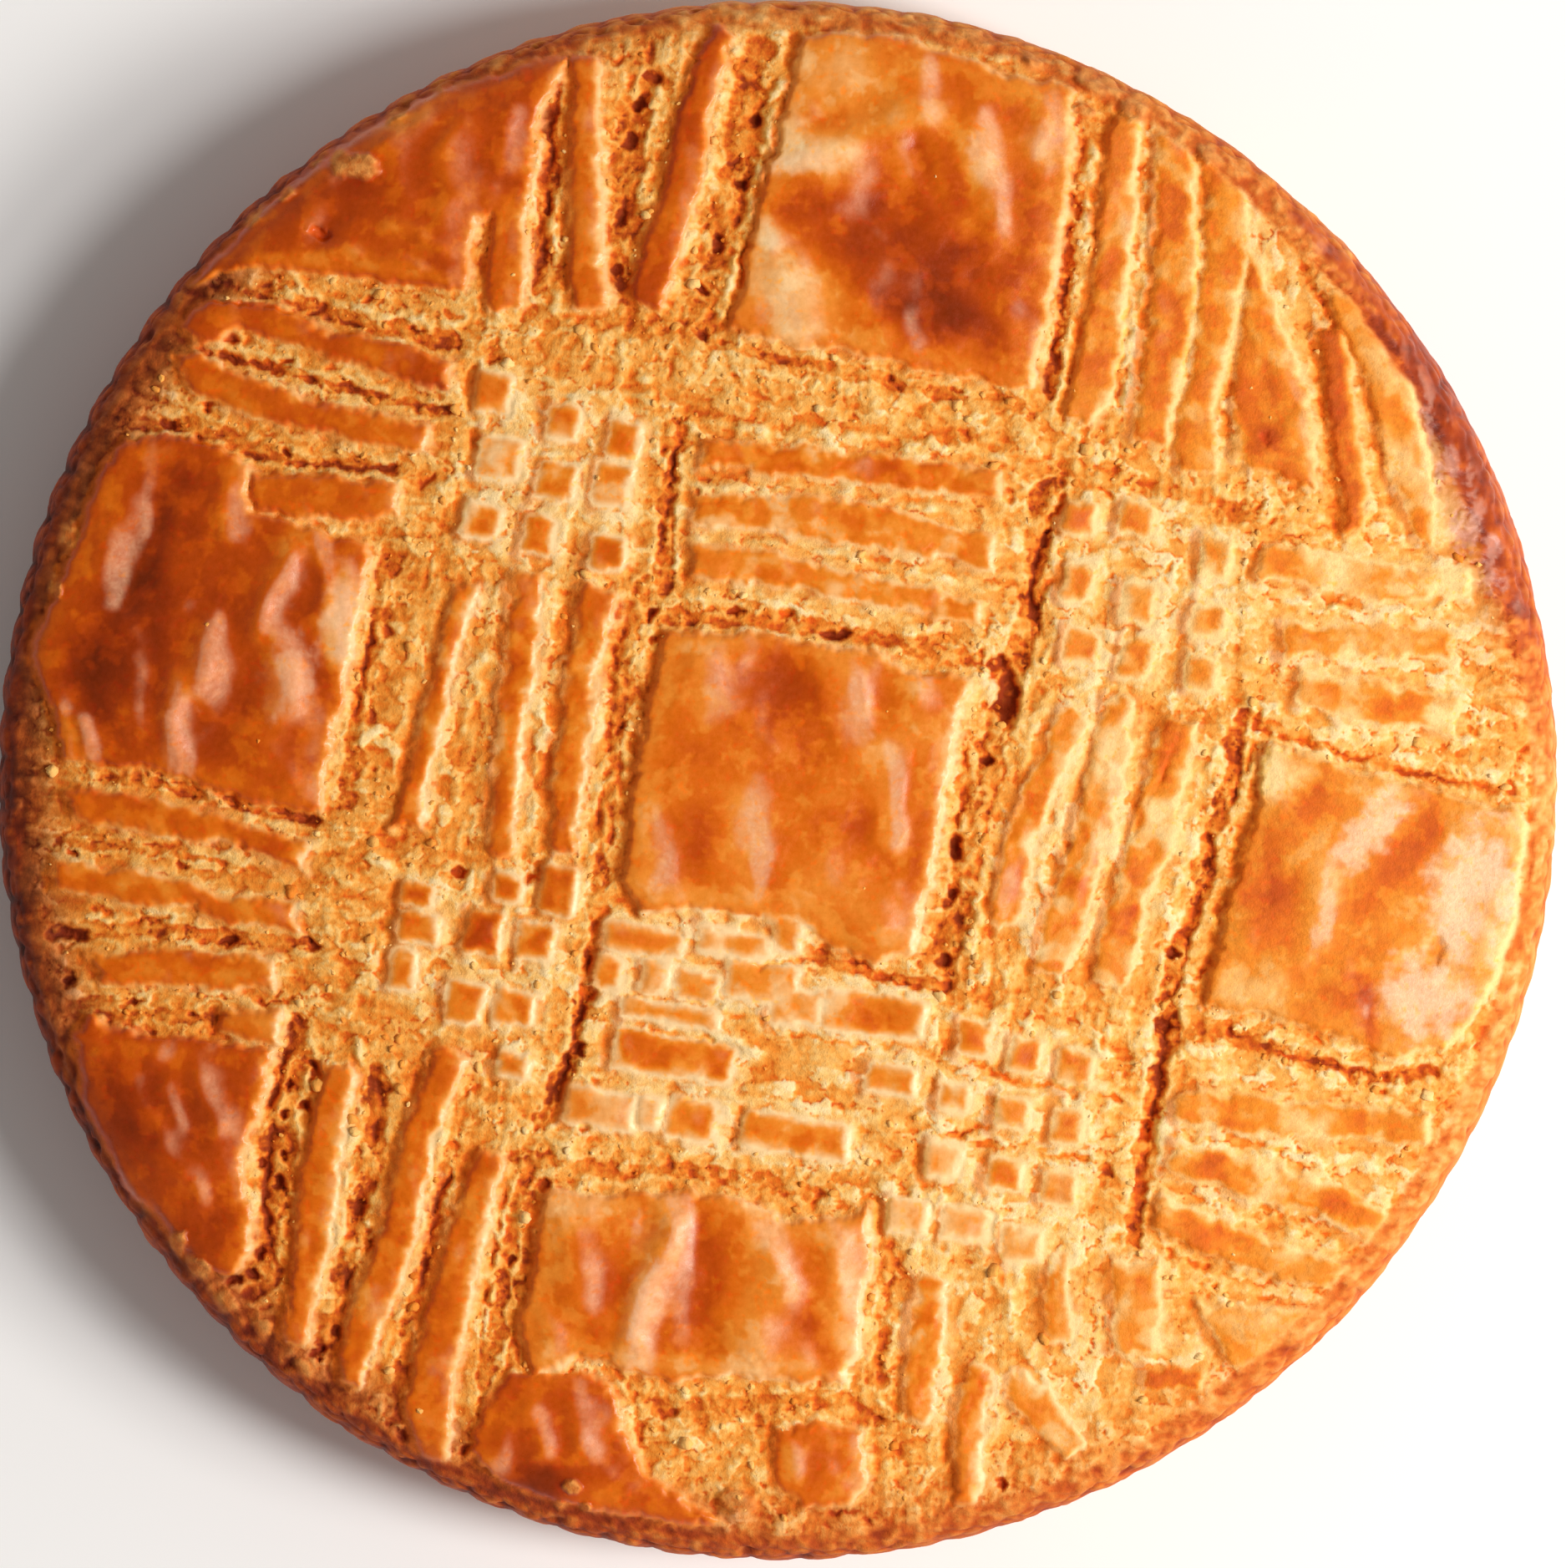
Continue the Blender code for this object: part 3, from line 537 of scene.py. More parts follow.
# Pale crumb ridges that stand between grooves, and raised crumb areas.
RIDGES = [
    ([(880, 60), (850, 200), (820, 300), (800, 370)], 7, 0.55), ([(935, 100), (915, 200), (890, 280), (866, 380)], 8, 0.60),
    ([(672, 100), (668, 200), (660, 300), (650, 345)], 5, 0.55), ([(1310, 180), (1300, 300), (1270, 470)], 7, 0.60),
    ([(1385, 200), (1370, 350), (1345, 500)], 6, 0.55), ([(1440, 250), (1436, 350), (1420, 470)], 5, 0.45),
    ([(1530, 850), (1600, 870), (1660, 890)], 9, 0.55), ([(1545, 722), (1640, 732), (1740, 728)], 6, 0.50),
    ([(838, 506), (1000, 522), (1200, 546)], 9, 0.55), ([(840, 578), (1000, 590), (1200, 622)], 6, 0.50),
    ([(830, 642), (1000, 662), (1190, 706)], 6, 0.45), ([(600, 700), (575, 800), (545, 960)], 6, 0.42),
    ([(660, 720), (650, 820), (640, 980)], 6, 0.42), ([(770, 700), (745, 800), (728, 960), (722, 1060)], 8, 0.50),
    ([(466, 690), (452, 760), (436, 860), (418, 960)], 7, 0.42), ([(1230, 900), (1216, 980), (1180, 1060), (1160, 1130)], 8, 0.45),
    ([(1350, 840), (1300, 960), (1250, 1060), (1236, 1120)], 6, 0.40), ([(1462, 880), (1440, 960), (1416, 1040), (1390, 1100)], 7, 0.50),
    ([(720, 1210), (840, 1236), (960, 1268)], 7, 0.45), ([(1120, 1212), (1220, 1228), (1340, 1262)], 8, 0.50),
    ([(1110, 1270), (1210, 1300), (1330, 1326)], 6, 0.40), ([(1100, 1340), (1200, 1370), (1320, 1400)], 6, 0.40),
    ([(1400, 1366), (1520, 1380), (1650, 1400)], 6, 0.42), ([(1386, 1436), (1480, 1456), (1600, 1492)], 6, 0.42),
    ([(430, 1250), (424, 1340), (412, 1440), (396, 1540)], 6, 0.45), ([(540, 1330), (520, 1430), (496, 1530), (462, 1620)], 6, 0.45),
    ([(346, 1270), (332, 1380), (326, 1480)], 7, 0.35), ([(614, 1400), (600, 1480), (590, 1560)], 7, 0.45),
    ([(1060, 1500), (1064, 1600), (1058, 1680)], 8, 0.42), ([(1180, 1500), (1210, 1560), (1230, 1620)], 8, 0.40),
    ([(1070, 1420), (1150, 1440), (1200, 1460)], 9, 0.45), ([(660, 1650), (690, 1636), (730, 1636), (745, 1660), (760, 1725)], 4, 0.50),
    ([(230, 345), (320, 345), (420, 362), (540, 388)], 7, 0.42), ([(120, 930), (230, 942), (300, 968)], 5, 0.40),
    ([(560, 430), (700, 466), (800, 486)], 7, 0.35), ([(545, 500), (640, 540), (770, 560)], 5, 0.35),
]
raised = np.zeros(U.shape)
for line, wide, tall in RIDGES:
    place = window(line, 3 * wide + 30)
    d = along(line, UW[place] + 4 * noise(U[place] / 22, V[place] / 22, 86), VW[place] + 4 * noise(U[place] / 22, V[place] / 22, 87))
    broken = step(-0.45, 0.25, noise(U[place] / 34, V[place] / 34, 183)) * (1 + 0.4 * noise(U[place] / 15, V[place] / 15, 184))
    raised[place] = np.maximum(raised[place], 0.85 * tall * broken * np.exp(-((d / wide) ** 2)))

AREAS = [  # middle, half sizes, angle, height in mm
    ((930, 440), (400, 44), 10, 0.42), ((1290, 540), (130, 40), 20, 0.30), ((420, 1080), (46, 150), 0, 0.22),
    ((1240, 1140), (90, 60), 20, 0.20), ((1000, 1230), (180, 60), 15, 0.30), ((1150, 1450), (120, 50), 15, 0.35),
    ((1580, 600), (120, 30), 10, 0.30), ((1540, 1290), (160, 24), 12, 0.30), ((680, 1380), (60, 40), 10, 0.30),
    ((1560, 720), (200, 120), 5, 0.22), ((650, 570), (110, 110), 10, 0.18), ((1360, 720), (110, 110), 10, 0.16),
    ((1330, 1590), (160, 80), -30, 0.20), ((360, 330), (120, 16), 8, 0.2),
]
for (mu, mv), (au, av), angle, tall in AREAS:
    c, s = math.cos(math.radians(angle)), math.sin(math.radians(angle))
    p, q = ((U - mu) * c + (V - mv) * s) / au, ((V - mv) * c - (U - mu) * s) / av
    raised += tall * np.exp(-((p * p + q * q) ** 1.5))
crumb += raised

# Tears: bands where the dough opened along an edge or a groove, with rough
# walls and a darker crumb floor. Line, half width, depth in mm.
TEARS = [
    ([(1252, 590), (1240, 680), (1228, 760), (1206, 830), (1190, 900), (1166, 1000), (1146, 1080), (1124, 1160)], 21, 0.75),
    ([(1486, 860), (1472, 930), (1452, 1000), (1440, 1070), (1412, 1130), (1402, 1200), (1388, 1300), (1368, 1400), (1352, 1500)], 15, 0.80),
    ([(770, 738), (860, 738), (1000, 756), (1100, 776), (1190, 792)], 13, 0.60), ([(772, 700), (746, 800), (734, 900), (724, 1000), (714, 1100)], 13, 0.55),
    ([(806, 510), (800, 600), (796, 700)], 14, 0.70), ([(470, 640), (452, 760), (432, 860), (410, 960)], 15, 0.55),
    ([(712, 1110), (704, 1180), (682, 1270), (650, 1345)], 13, 0.80), ([(130, 928), (250, 952), (380, 984)], 9, 0.65),
    ([(352, 1240), (338, 1340), (324, 1440), (304, 1540)], 26, 0.85), ([(455, 1290), (440, 1400), (418, 1500), (394, 1610)], 17, 0.75),
    ([(530, 1400), (510, 1500), (484, 1600), (472, 1700)], 11, 0.60), ([(628, 1400), (608, 1500), (590, 1600), (570, 1700)], 13, 0.60),
    ([(656, 110), (656, 210), (645, 345)], 12, 0.80), ([(772, 60), (760, 150), (744, 250), (732, 350)], 27, 0.70),
    ([(908, 60), (884, 200), (856, 300), (834, 395)], 24, 0.65), ([(1288, 130), (1286, 250), (1272, 360), (1256, 465)], 12, 0.70),
    ([(225, 345), (330, 352), (420, 384), (540, 408)], 12, 0.55), ([(240, 418), (330, 440), (470, 480), (540, 492)], 8, 0.60),
    ([(140, 502), (230, 512), (330, 546), (470, 562)], 13, 0.60), ([(1440, 1228), (1530, 1258), (1640, 1292), (1720, 1284)], 11, 0.60),
    ([(1496, 862), (1600, 896), (1700, 926), (1806, 946)], 9, 0.50), ([(640, 1440), (626, 1540), (612, 1640)], 11, 0.60),
    ([(780, 1690), (900, 1688), (1020, 1690), (1070, 1730)], 24, 0.40), ([(1064, 1450), (1062, 1560), (1052, 1660)], 13, 0.50),
    ([(60, 1116), (150, 1110), (260, 1122), (364, 1130)], 14, 0.70), ([(100, 1204), (200, 1216), (330, 1216)], 11, 0.60),
    ([(70, 1006), (200, 1020), (290, 1040)], 8, 0.50), ([(1240, 560), (1300, 560), (1400, 590), (1500, 610)], 16, 0.35),
    ([(600, 1380), (700, 1400), (850, 1404), (1000, 1430)], 12, 0.45), ([(960, 1140), (1060, 1170), (1130, 1180)], 10, 0.55),
    ([(1366, 200), (1356, 330), (1338, 470)], 7, 0.50), ([(1440, 240), (1434, 360), (1412, 480)], 6, 0.45), ([(1120, 1360), (1220, 1378), (1330, 1400)], 7, 0.50),
    ([(900, 420), (1000, 440), (1110, 470), (1230, 490)], 10, 0.40), ([(640, 380), (740, 384), (850, 410)], 16, 0.35), ([(300, 1600), (360, 1660), (470, 1740)], 16, 0.5),
]
TU = U + 8 * noise(U / 31, V / 31, 45) + 4 * noise(U / 13, V / 13, 46) + 2 * noise(U / 6, V / 6, 47)
TV = V + 8 * noise(U / 31, V / 31, 48) + 4 * noise(U / 13, V / 13, 49) + 2 * noise(U / 6, V / 6, 44)
tear = np.zeros(U.shape)
for line, wide, deep in TEARS:
    place = window(line, 2.4 * wide + 30)
    across = along(line, TU[place], TV[place]) / (wide * (1 + 0.5 * noise(U[place] / 36, V[place] / 36, 43)))
    tear[place] = np.maximum(tear[place], 0.62 * deep * (1 - step(0.62, 0.92, across)))
tear *= 1 - step(-8, -1, skin)
tear_floor = tear / 0.62
tear *= 0.35 + 0.65 * step(-0.30, 0.25, noise(U / 44, V / 44, 41))
crumb -= tear
crumb += np.clip(tear, 0, 1) * (0.12 * (step(0, 0.5, near_b - near_a) - 0.5) + 0.16 * (own_a - 0.5) + 0.10 * (own_c - 0.5) + 0.26 * rough)

height = crumb * (1 - 0.92 * cover) * (1 - 0.45 * rise * (1 - cover)) + skin_height

# ------------------------------------------------------------ cracks, holes
# Lines: places, half width, depth in mm.
CRACKS = [
    ([(665, 100), (655, 200), (650, 300), (640, 345)], 5, 0.9), ([(945, 100), (930, 170), (895, 290), (872, 380)], 3.5, 0.8),
    ([(1290, 110), (1275, 350), (1256, 450)], 4.5, 0.9), ([(1370, 200), (1355, 350), (1335, 470)], 4, 0.8),
    ([(1438, 210), (1436, 330), (1418, 450)], 3.5, 0.7), ([(1545, 280), (1570, 335)], 4, 0.8), ([(1575, 345), (1597, 385)], 4, 0.8),
    ([(1455, 180), (1480, 200)], 4, 0.8), ([(820, 505), (805, 570), (795, 650), (795, 700)], 5, 1.0),
    ([(1270, 595), (1245, 650), (1240, 680), (1235, 700), (1240, 760)], 5, 1.3), ([(565, 975), (555, 1045)], 4, 1.0),
    ([(190, 925), (240, 945), (290, 960), (340, 972), (380, 978)], 4, 1.0), ([(175, 1008), (220, 1012)], 3.5, 0.8),
    ([(110, 1090), (150, 1105), (200, 1097)], 4, 0.9), ([(110, 1215), (180, 1235)], 3.5, 0.8), ([(310, 1200), (335, 1200)], 3.5, 0.8),
    ([(1450, 1000), (1440, 1070), (1420, 1110), (1390, 1135)], 5, 1.3), ([(1415, 1170), (1390, 1200)], 5, 1.2),
    ([(1400, 1200), (1392, 1260), (1384, 1320), (1370, 1370), (1362, 1450)], 7, 1.3),
    ([(705, 1140), (700, 1180), (690, 1230), (680, 1270), (660, 1310), (650, 1340)], 5, 1.2),
    ([(860, 1150), (905, 1155), (960, 1150)], 3.5, 0.8), ([(750, 1190), (860, 1205), (950, 1240), (1060, 1255), (1130, 1250)], 3.5, 0.8),
    ([(750, 1225), (850, 1245)], 3.5, 0.7), ([(885, 1325), (880, 1370)], 3.5, 0.8), ([(1000, 1320), (1035, 1360)], 3.5, 0.8),
    ([(1150, 1265), (1200, 1290), (1300, 1305), (1340, 1320)], 4, 0.9), ([(1130, 1360), (1180, 1350)], 3.5, 0.8), ([(1200, 1365), (1300, 1390)], 4, 0.9),
    ([(1475, 1240), (1530, 1260), (1600, 1280), (1660, 1290)], 4, 1.0), ([(1500, 1365), (1560, 1385)], 3.5, 0.8), ([(1610, 1365), (1640, 1385)], 3.5, 0.8),
    ([(1510, 1445), (1610, 1485)], 3.5, 0.8), ([(1505, 1555), (1580, 1565)], 3.5, 0.8), ([(1400, 1500), (1440, 1518)], 5, 1.0),
    ([(1020, 1150), (1075, 1175), (1130, 1190)], 4, 0.8), ([(975, 1120), (1010, 1160)], 3.5, 0.7),
    ([(1160, 870), (1150, 960), (1140, 1010)], 5, 0.9), ([(1185, 730), (1175, 800)], 4, 0.9),
    ([(660, 1650), (690, 1630), (730, 1628), (752, 1660), (768, 1725)], 3, 0.7), ([(1000, 1812), (1040, 1816)], 4, 0.8),
    ([(1820, 1120), (1826, 1150)], 3, 0.7), ([(1835, 930), (1838, 1050)], 3, 0.7), ([(230, 352), (360, 372), (430, 392)], 3.5, 0.8),
    ([(240, 418), (330, 440), (470, 478), (540, 494)], 4.5, 0.9), ([(130, 508), (200, 512), (300, 545), (470, 562)], 4, 0.8),
    ([(535, 1400), (520, 1460), (500, 1540)], 4.5, 0.9), ([(455, 1300), (445, 1380), (430, 1450), (415, 1540)], 5, 0.9),
    ([(340, 1260), (322, 1330), (318, 1420), (316, 1500)], 6, 1.0), ([(606, 1420), (590, 1500), (575, 1600)], 5, 0.9),
    ([(1508, 840), (1500, 900), (1480, 960)], 4, 0.8), ([(1410, 880), (1360, 1000)], 3, 0.5), ([(1500, 870), (1600, 900), (1720, 930), (1800, 945)], 4, 0.8),
    ([(740, 720), (735, 800), (725, 900)], 4, 0.8), ([(450, 700), (440, 780), (425, 860)], 5, 0.9), ([(1660, 1640), (1600, 1660)], 4, 0.6),
]
# Holes: middle, half sizes, depth in mm.
HOLES = [
    ((380, 275), (14, 9), 0.9), ((905, 140), (8, 10), 1.2), ((885, 220), (7, 10), 1.2), ((860, 290), (9, 12), 1.3), ((840, 345), (8, 10), 1.1),
    ((840, 400), (9, 8), 1.0), ((275, 405), (12, 7), 1.1), ((340, 435), (11, 6), 1.0), ((200, 508), (12, 8), 1.1), ((245, 485), (10, 6), 1.0),
    ((345, 540), (10, 6), 1.0), ((780, 735), (9, 8), 1.2), ((780, 765), (8, 9), 1.1), ((880, 730), (10, 8), 1.2), ((945, 735), (11, 8), 1.3),
    ((1000, 760), (22, 8), 1.4), ((548, 1043), (10, 8), 1.3), ((635, 1050), (10, 8), 1.2), ((1206, 832), (16, 46), 1.9), ((1196, 800), (14, 18), 1.7),
    ((1180, 910), (11, 10), 1.3), ((1145, 1015), (10, 18), 1.6), ((1130, 1150), (12, 10), 1.3), ((1140, 1070), (8, 12), 1.2), ((1275, 1015), (9, 9), 0.9),
    ((1515, 525), (9, 8), 0.4), ((85, 1022), (10, 6), 1.0), ((217, 1036), (9, 5), 1.0), ((82, 1120), (24, 12), 1.3), ((77, 1172), (8, 12), 1.1),
    ((272, 1125), (12, 6), 1.1), ((370, 1132), (9, 8), 1.2), ((160, 1200), (10, 6), 1.0), ((230, 1215), (8, 6), 0.9), ((265, 1217), (8, 6), 0.9),
    ((705, 1190), (9, 10), 1.4), ((695, 1255), (8, 10), 1.3), ((375, 1280), (9, 13), 1.5), ((345, 1300), (8, 9), 1.3), ((365, 1325), (8, 9), 1.3),
    ((340, 1335), (7, 9), 1.2), ((340, 1380), (8, 10), 1.3), ((310, 1395), (8, 10), 1.2), ((335, 1420), (9, 10), 1.3), ((310, 1500), (9, 12), 1.3),
    ((280, 1535), (12, 9), 1.2), ((300, 1530), (9, 9), 1.2), ((430, 1440), (8, 10), 1.2), ((445, 1490), (8, 9), 1.2), ((400, 1600), (9, 9), 1.2),
    ((380, 1620), (8, 8), 1.1), ((345, 1635), (9, 8), 1.1), ((480, 1720), (10, 8), 1.2), ((555, 1735), (8, 8), 1.1), ((610, 1510), (7, 9), 1.1),
    ((650, 1420), (9, 6), 1.1), ((1200, 1780), (9, 8), 1.1), ((1720, 1138), (14, 24), 0.7), ((1735, 1360), (8, 14), 1.0), ((1740, 1388), (7, 10), 0.9),
    ((1370, 1350), (10, 18), 1.7), ((1390, 1225), (9, 14), 1.5), ((1405, 1140), (10, 10), 1.3), ((700, 1350), (9, 7), 0.9), ((655, 250), (7, 12), 1.1),
    ((752, 170), (10, 12), 1.0), ((765, 120), (10, 10), 1.0), ((745, 260), (9, 12), 1.0), ((738, 320), (8, 10), 1.0), ((780, 90), (10, 9), 0.9),
]
cut = np.zeros(U.shape)
JU = UW + 3.5 * noise(U / 12, V / 12, 90) + 1.8 * noise(U / 5.5, V / 5.5, 91)
JV = VW + 3.5 * noise(U / 12, V / 12, 92) + 1.8 * noise(U / 5.5, V / 5.5, 93)
for line, wide, deep in CRACKS:
    place = window(line, 4 * wide + 26)
    d = along(line, JU[place], JV[place])
    depth = deep * (0.30 + 0.80 * step(-0.35, 0.30, noise(U[place] / 27, V[place] / 27, 94)))
    cut[place] = np.maximum(cut[place], 0.55 * depth * (1 - step(0.15 * wide, 1.45 * wide, d)))
for (mu, mv), (au, av), deep in HOLES:
    place = window([(mu, mv)], 3 * max(au, av) + 24)
    d = np.hypot((JU[place] - mu) / au, (JV[place] - mv) / av)
    cut[place] = np.maximum(cut[place], 0.80 * deep * (1 - step(0.40, 1.15, d)))
height -= cut

# Chips and lumps of crumb lying on the skin: middle, half sizes, angle, height.
LUMPS = [
    ((424, 197), (31, 16), 12, 0.80), ((440, 192), (12, 9), 30, 0.9), ((404, 190), (14, 11), -20, 0.6), ((372, 182), (18, 11), -30, 0.6), ((300, 250), (16, 10), -40, 0.5),
    ((585, 66), (20, 13), 20, 0.7), ((470, 130), (16, 9), -30, 0.5), ((1360, 128), (18, 14), 30, 0.8), ((1300, 130), (14, 10), 20, 0.6), ((1450, 182), (16, 10), 40, 0.6),
    ((1180, 40), (18, 10), 10, 0.6), ((1120, 24), (16, 9), 10, 0.5), ((1240, 66), (14, 10), 30, 0.6), ((236, 1520), (18, 12), 40, 0.6), ((268, 1560), (16, 12), 40, 0.6),
    ((212, 1490), (14, 11), 60, 0.6), ((310, 1590), (16, 11), 40, 0.5), ((360, 1640), (14, 10), 40, 0.5), ((80, 640), (14, 18), 10, 0.6), ((64, 700), (11, 14), 10, 0.5), ((882, 1798), (26, 15), 20, 0.9),
    ((687, 1782), (11, 7), 10, 0.6), ((670, 1805), (8, 6), 40, 0.5), ((700, 1808), (9, 6), -20, 0.5), ((1318, 92), (26, 17), 20, 1.1),
    ((1340, 100), (14, 12), 0, 0.9), ((520, 98), (14, 9), 30, 0.6), ((340, 226), (12, 8), -30, 0.6), ((300, 262), (10, 8), 20, 0.5),
]
lump, lump_height = np.zeros(U.shape), np.zeros(U.shape)
for (mu, mv), (au, av), angle, tall in LUMPS:
    place = window([(mu, mv)], 3 * max(au, av) + 20)
    c, s = math.cos(math.radians(angle)), math.sin(math.radians(angle))
    p, q = ((UW[place] - mu) * c + (VW[place] - mv) * s) / au, ((VW[place] - mv) * c - (UW[place] - mu) * s) / av
    lump[place] = np.maximum(lump[place], 1 - step(0.75, 1.15, np.hypot(p, q) + 0.10 * noise(U[place] / 9, V[place] / 9, 95)))
    lump_height[place] = np.maximum(lump_height[place], tall * lump[place] * (1 - step(0.0, 2.2, np.hypot(p, q)) * 0.4))

# ------------------------------------------------------------- the cake's rim
# Crumbly, torn shoulder outside the skin; glossy caramel slope at the back right.
RIM = [(-180, 86.8), (-150, 87.8), (-120, 87.0), (-100, 86.0), (-60, 85.5), (-30, 85.3), (0, 85.6), (16, 84.4), (45, 84.6), (60, 85.9), (75, 86.1), (90, 85.8), (110, 87.2), (130, 88.6), (150, 88.0), (165, 87.2)]


def turned_value(theta, places):
    """A value that changes round the cake: places are (degrees, value)."""
    degrees = [p[0] for p in places]
    return np.interp(theta, [degrees[0] - 1e-6] + degrees[1:], [p[1] for p in places], period=360)


rim_start = turned_value(THETA, RIM) + 0.6 * noise(THETA / 9, R * 0 + 3.3, 100) + 0.5 * noise(THETA / 3, R * 0 + 8.1, 101)
rim = step(rim_start, rim_start + 1.1, R)
slope_line = [(1545, 255), (1600, 320), (1645, 350), (1665, 390), (1690, 430), (1700, 480), (1715, 540), (1725, 600), (1735, 660), (1765, 700), (1830, 740), (1855, 790), (1990, 790), (1990, 255)]
place = window(slope_line, 40)
caramel = np.zeros(U.shape)
caramel[place] = step(-8, 8, inside_polygon(slope_line, UW[place], VW[place]))
rim_rough = 0.34 * fbm(U / 26, V / 26, 102, 4, 0.55) + 0.20 * (step(0, 0.5, near_b - near_a) - 0.5) + 0.34 * (own_d - 0.5) * step(0, 0.2, clump_b - clump) + 0.14 * (own_a - 0.5)
height = height * (1 - 0.85 * rim) + rim * rim_rough * (1 - 0.6 * caramel)
height += lump_height
cover = cover * (1 - rim) * (1 - lump)

# Base form: the crown, then the shoulder. Height in mm for a radius in mm.
FORM_R = [0, 10, 20, 30, 40, 50, 60, 68, 74, 78, 81, 83.5, 85.2, 86.6, 87.7, 88.5, 89.0, 90.0, 140.0]
FORM_Z = [31.0 - 4.5 * (r / 81.5) ** 2.4 - DOME_DROP if r < 79 else 0 for r in FORM_R]
FORM_Z[10:] = [25.35, 25.15, 24.75, 24.0, 22.9, 21.4, 19.8, 16.0, 16.0]
fine_r = np.linspace(0, 110, 2201)
fine_z = np.interp(fine_r, FORM_R, FORM_Z)
kernel = np.exp(-(np.linspace(-3, 3, 81) ** 2) / 2)
fine_z[40:-40] = np.convolve(fine_z, kernel / kernel.sum(), "same")[40:-40]
swell = 0.30 * noise(U / 330, V / 330, 110) * (1 - step(70, 82, R))
base_z = np.interp(R, fine_r, fine_z) + swell

height = 0.82 * height + 0.18 * blur(height, 2.2)
height += 0.45 * pressed * (1 - 0.7 * step(-4, 3, skin)) * (blur(height, 3.5) - height)
top_z = np.minimum(base_z + height, TOP_LIMIT - 0.02 * np.exp(-height))

# ------------------------------------------------------------ colour of the top
# Tone of the crumb. Apart from its random and dough-driven variation, it is painted darker and more orange in hollows,
# cracks, holes and gaps and lighter on tips: painted shade and light.
bare = crumb - cut
fine_cavity = (bare - blur(bare, 6.0)) / 0.11
wide_cavity = (bare - blur(bare, 17.0)) / 0.30
tone = 0.54 + (1 - 0.40 * pressed) * (0.12 * np.clip(fine_cavity, -2.0, 1.4) + 0.16 * np.clip(wide_cavity, -1.8, 1.2))
tone += 0.12 * fbm(U / 60, V / 60, 120, 3) + 0.04 * noise(U / 8, V / 8, 124) + 0.16 * (flake_own - 0.5) * flake_flat - 0.12 * flake_gap
side_tone = np.clip((U - CENTRE_U) / 900, -1, 1)  # the right is paler than the left
tone += 0.07 * side_tone - 0.02 + 0.09 * pressed * (0.3 + side_tone) - 0.10 * step(0.15, 0.8, cut) - 0.27 * np.clip(tear_floor, 0, 1) + 0.16 * tile + pressed * (0.10 - 0.12 * hair + 0.14 * blob + 0.12 * chip + 0.22 * (flake_own - 0.5) * flake_flat - 0.26 * flake_gap + 0.16 * fbm(U / 26, V / 26, 126, 3))
CRUMB_STOPS = [
    (-0.20, (144, 56, 0)), (0.00, (195, 84, 2)), (0.20, (220, 110, 14)), (0.40, (234, 140, 42)),
    (0.60, (243, 169, 76)), (0.80, (249, 197, 115)), (1.00, (251, 219, 160)),
]
crumb_colour = ramp(tone, CRUMB_STOPS)
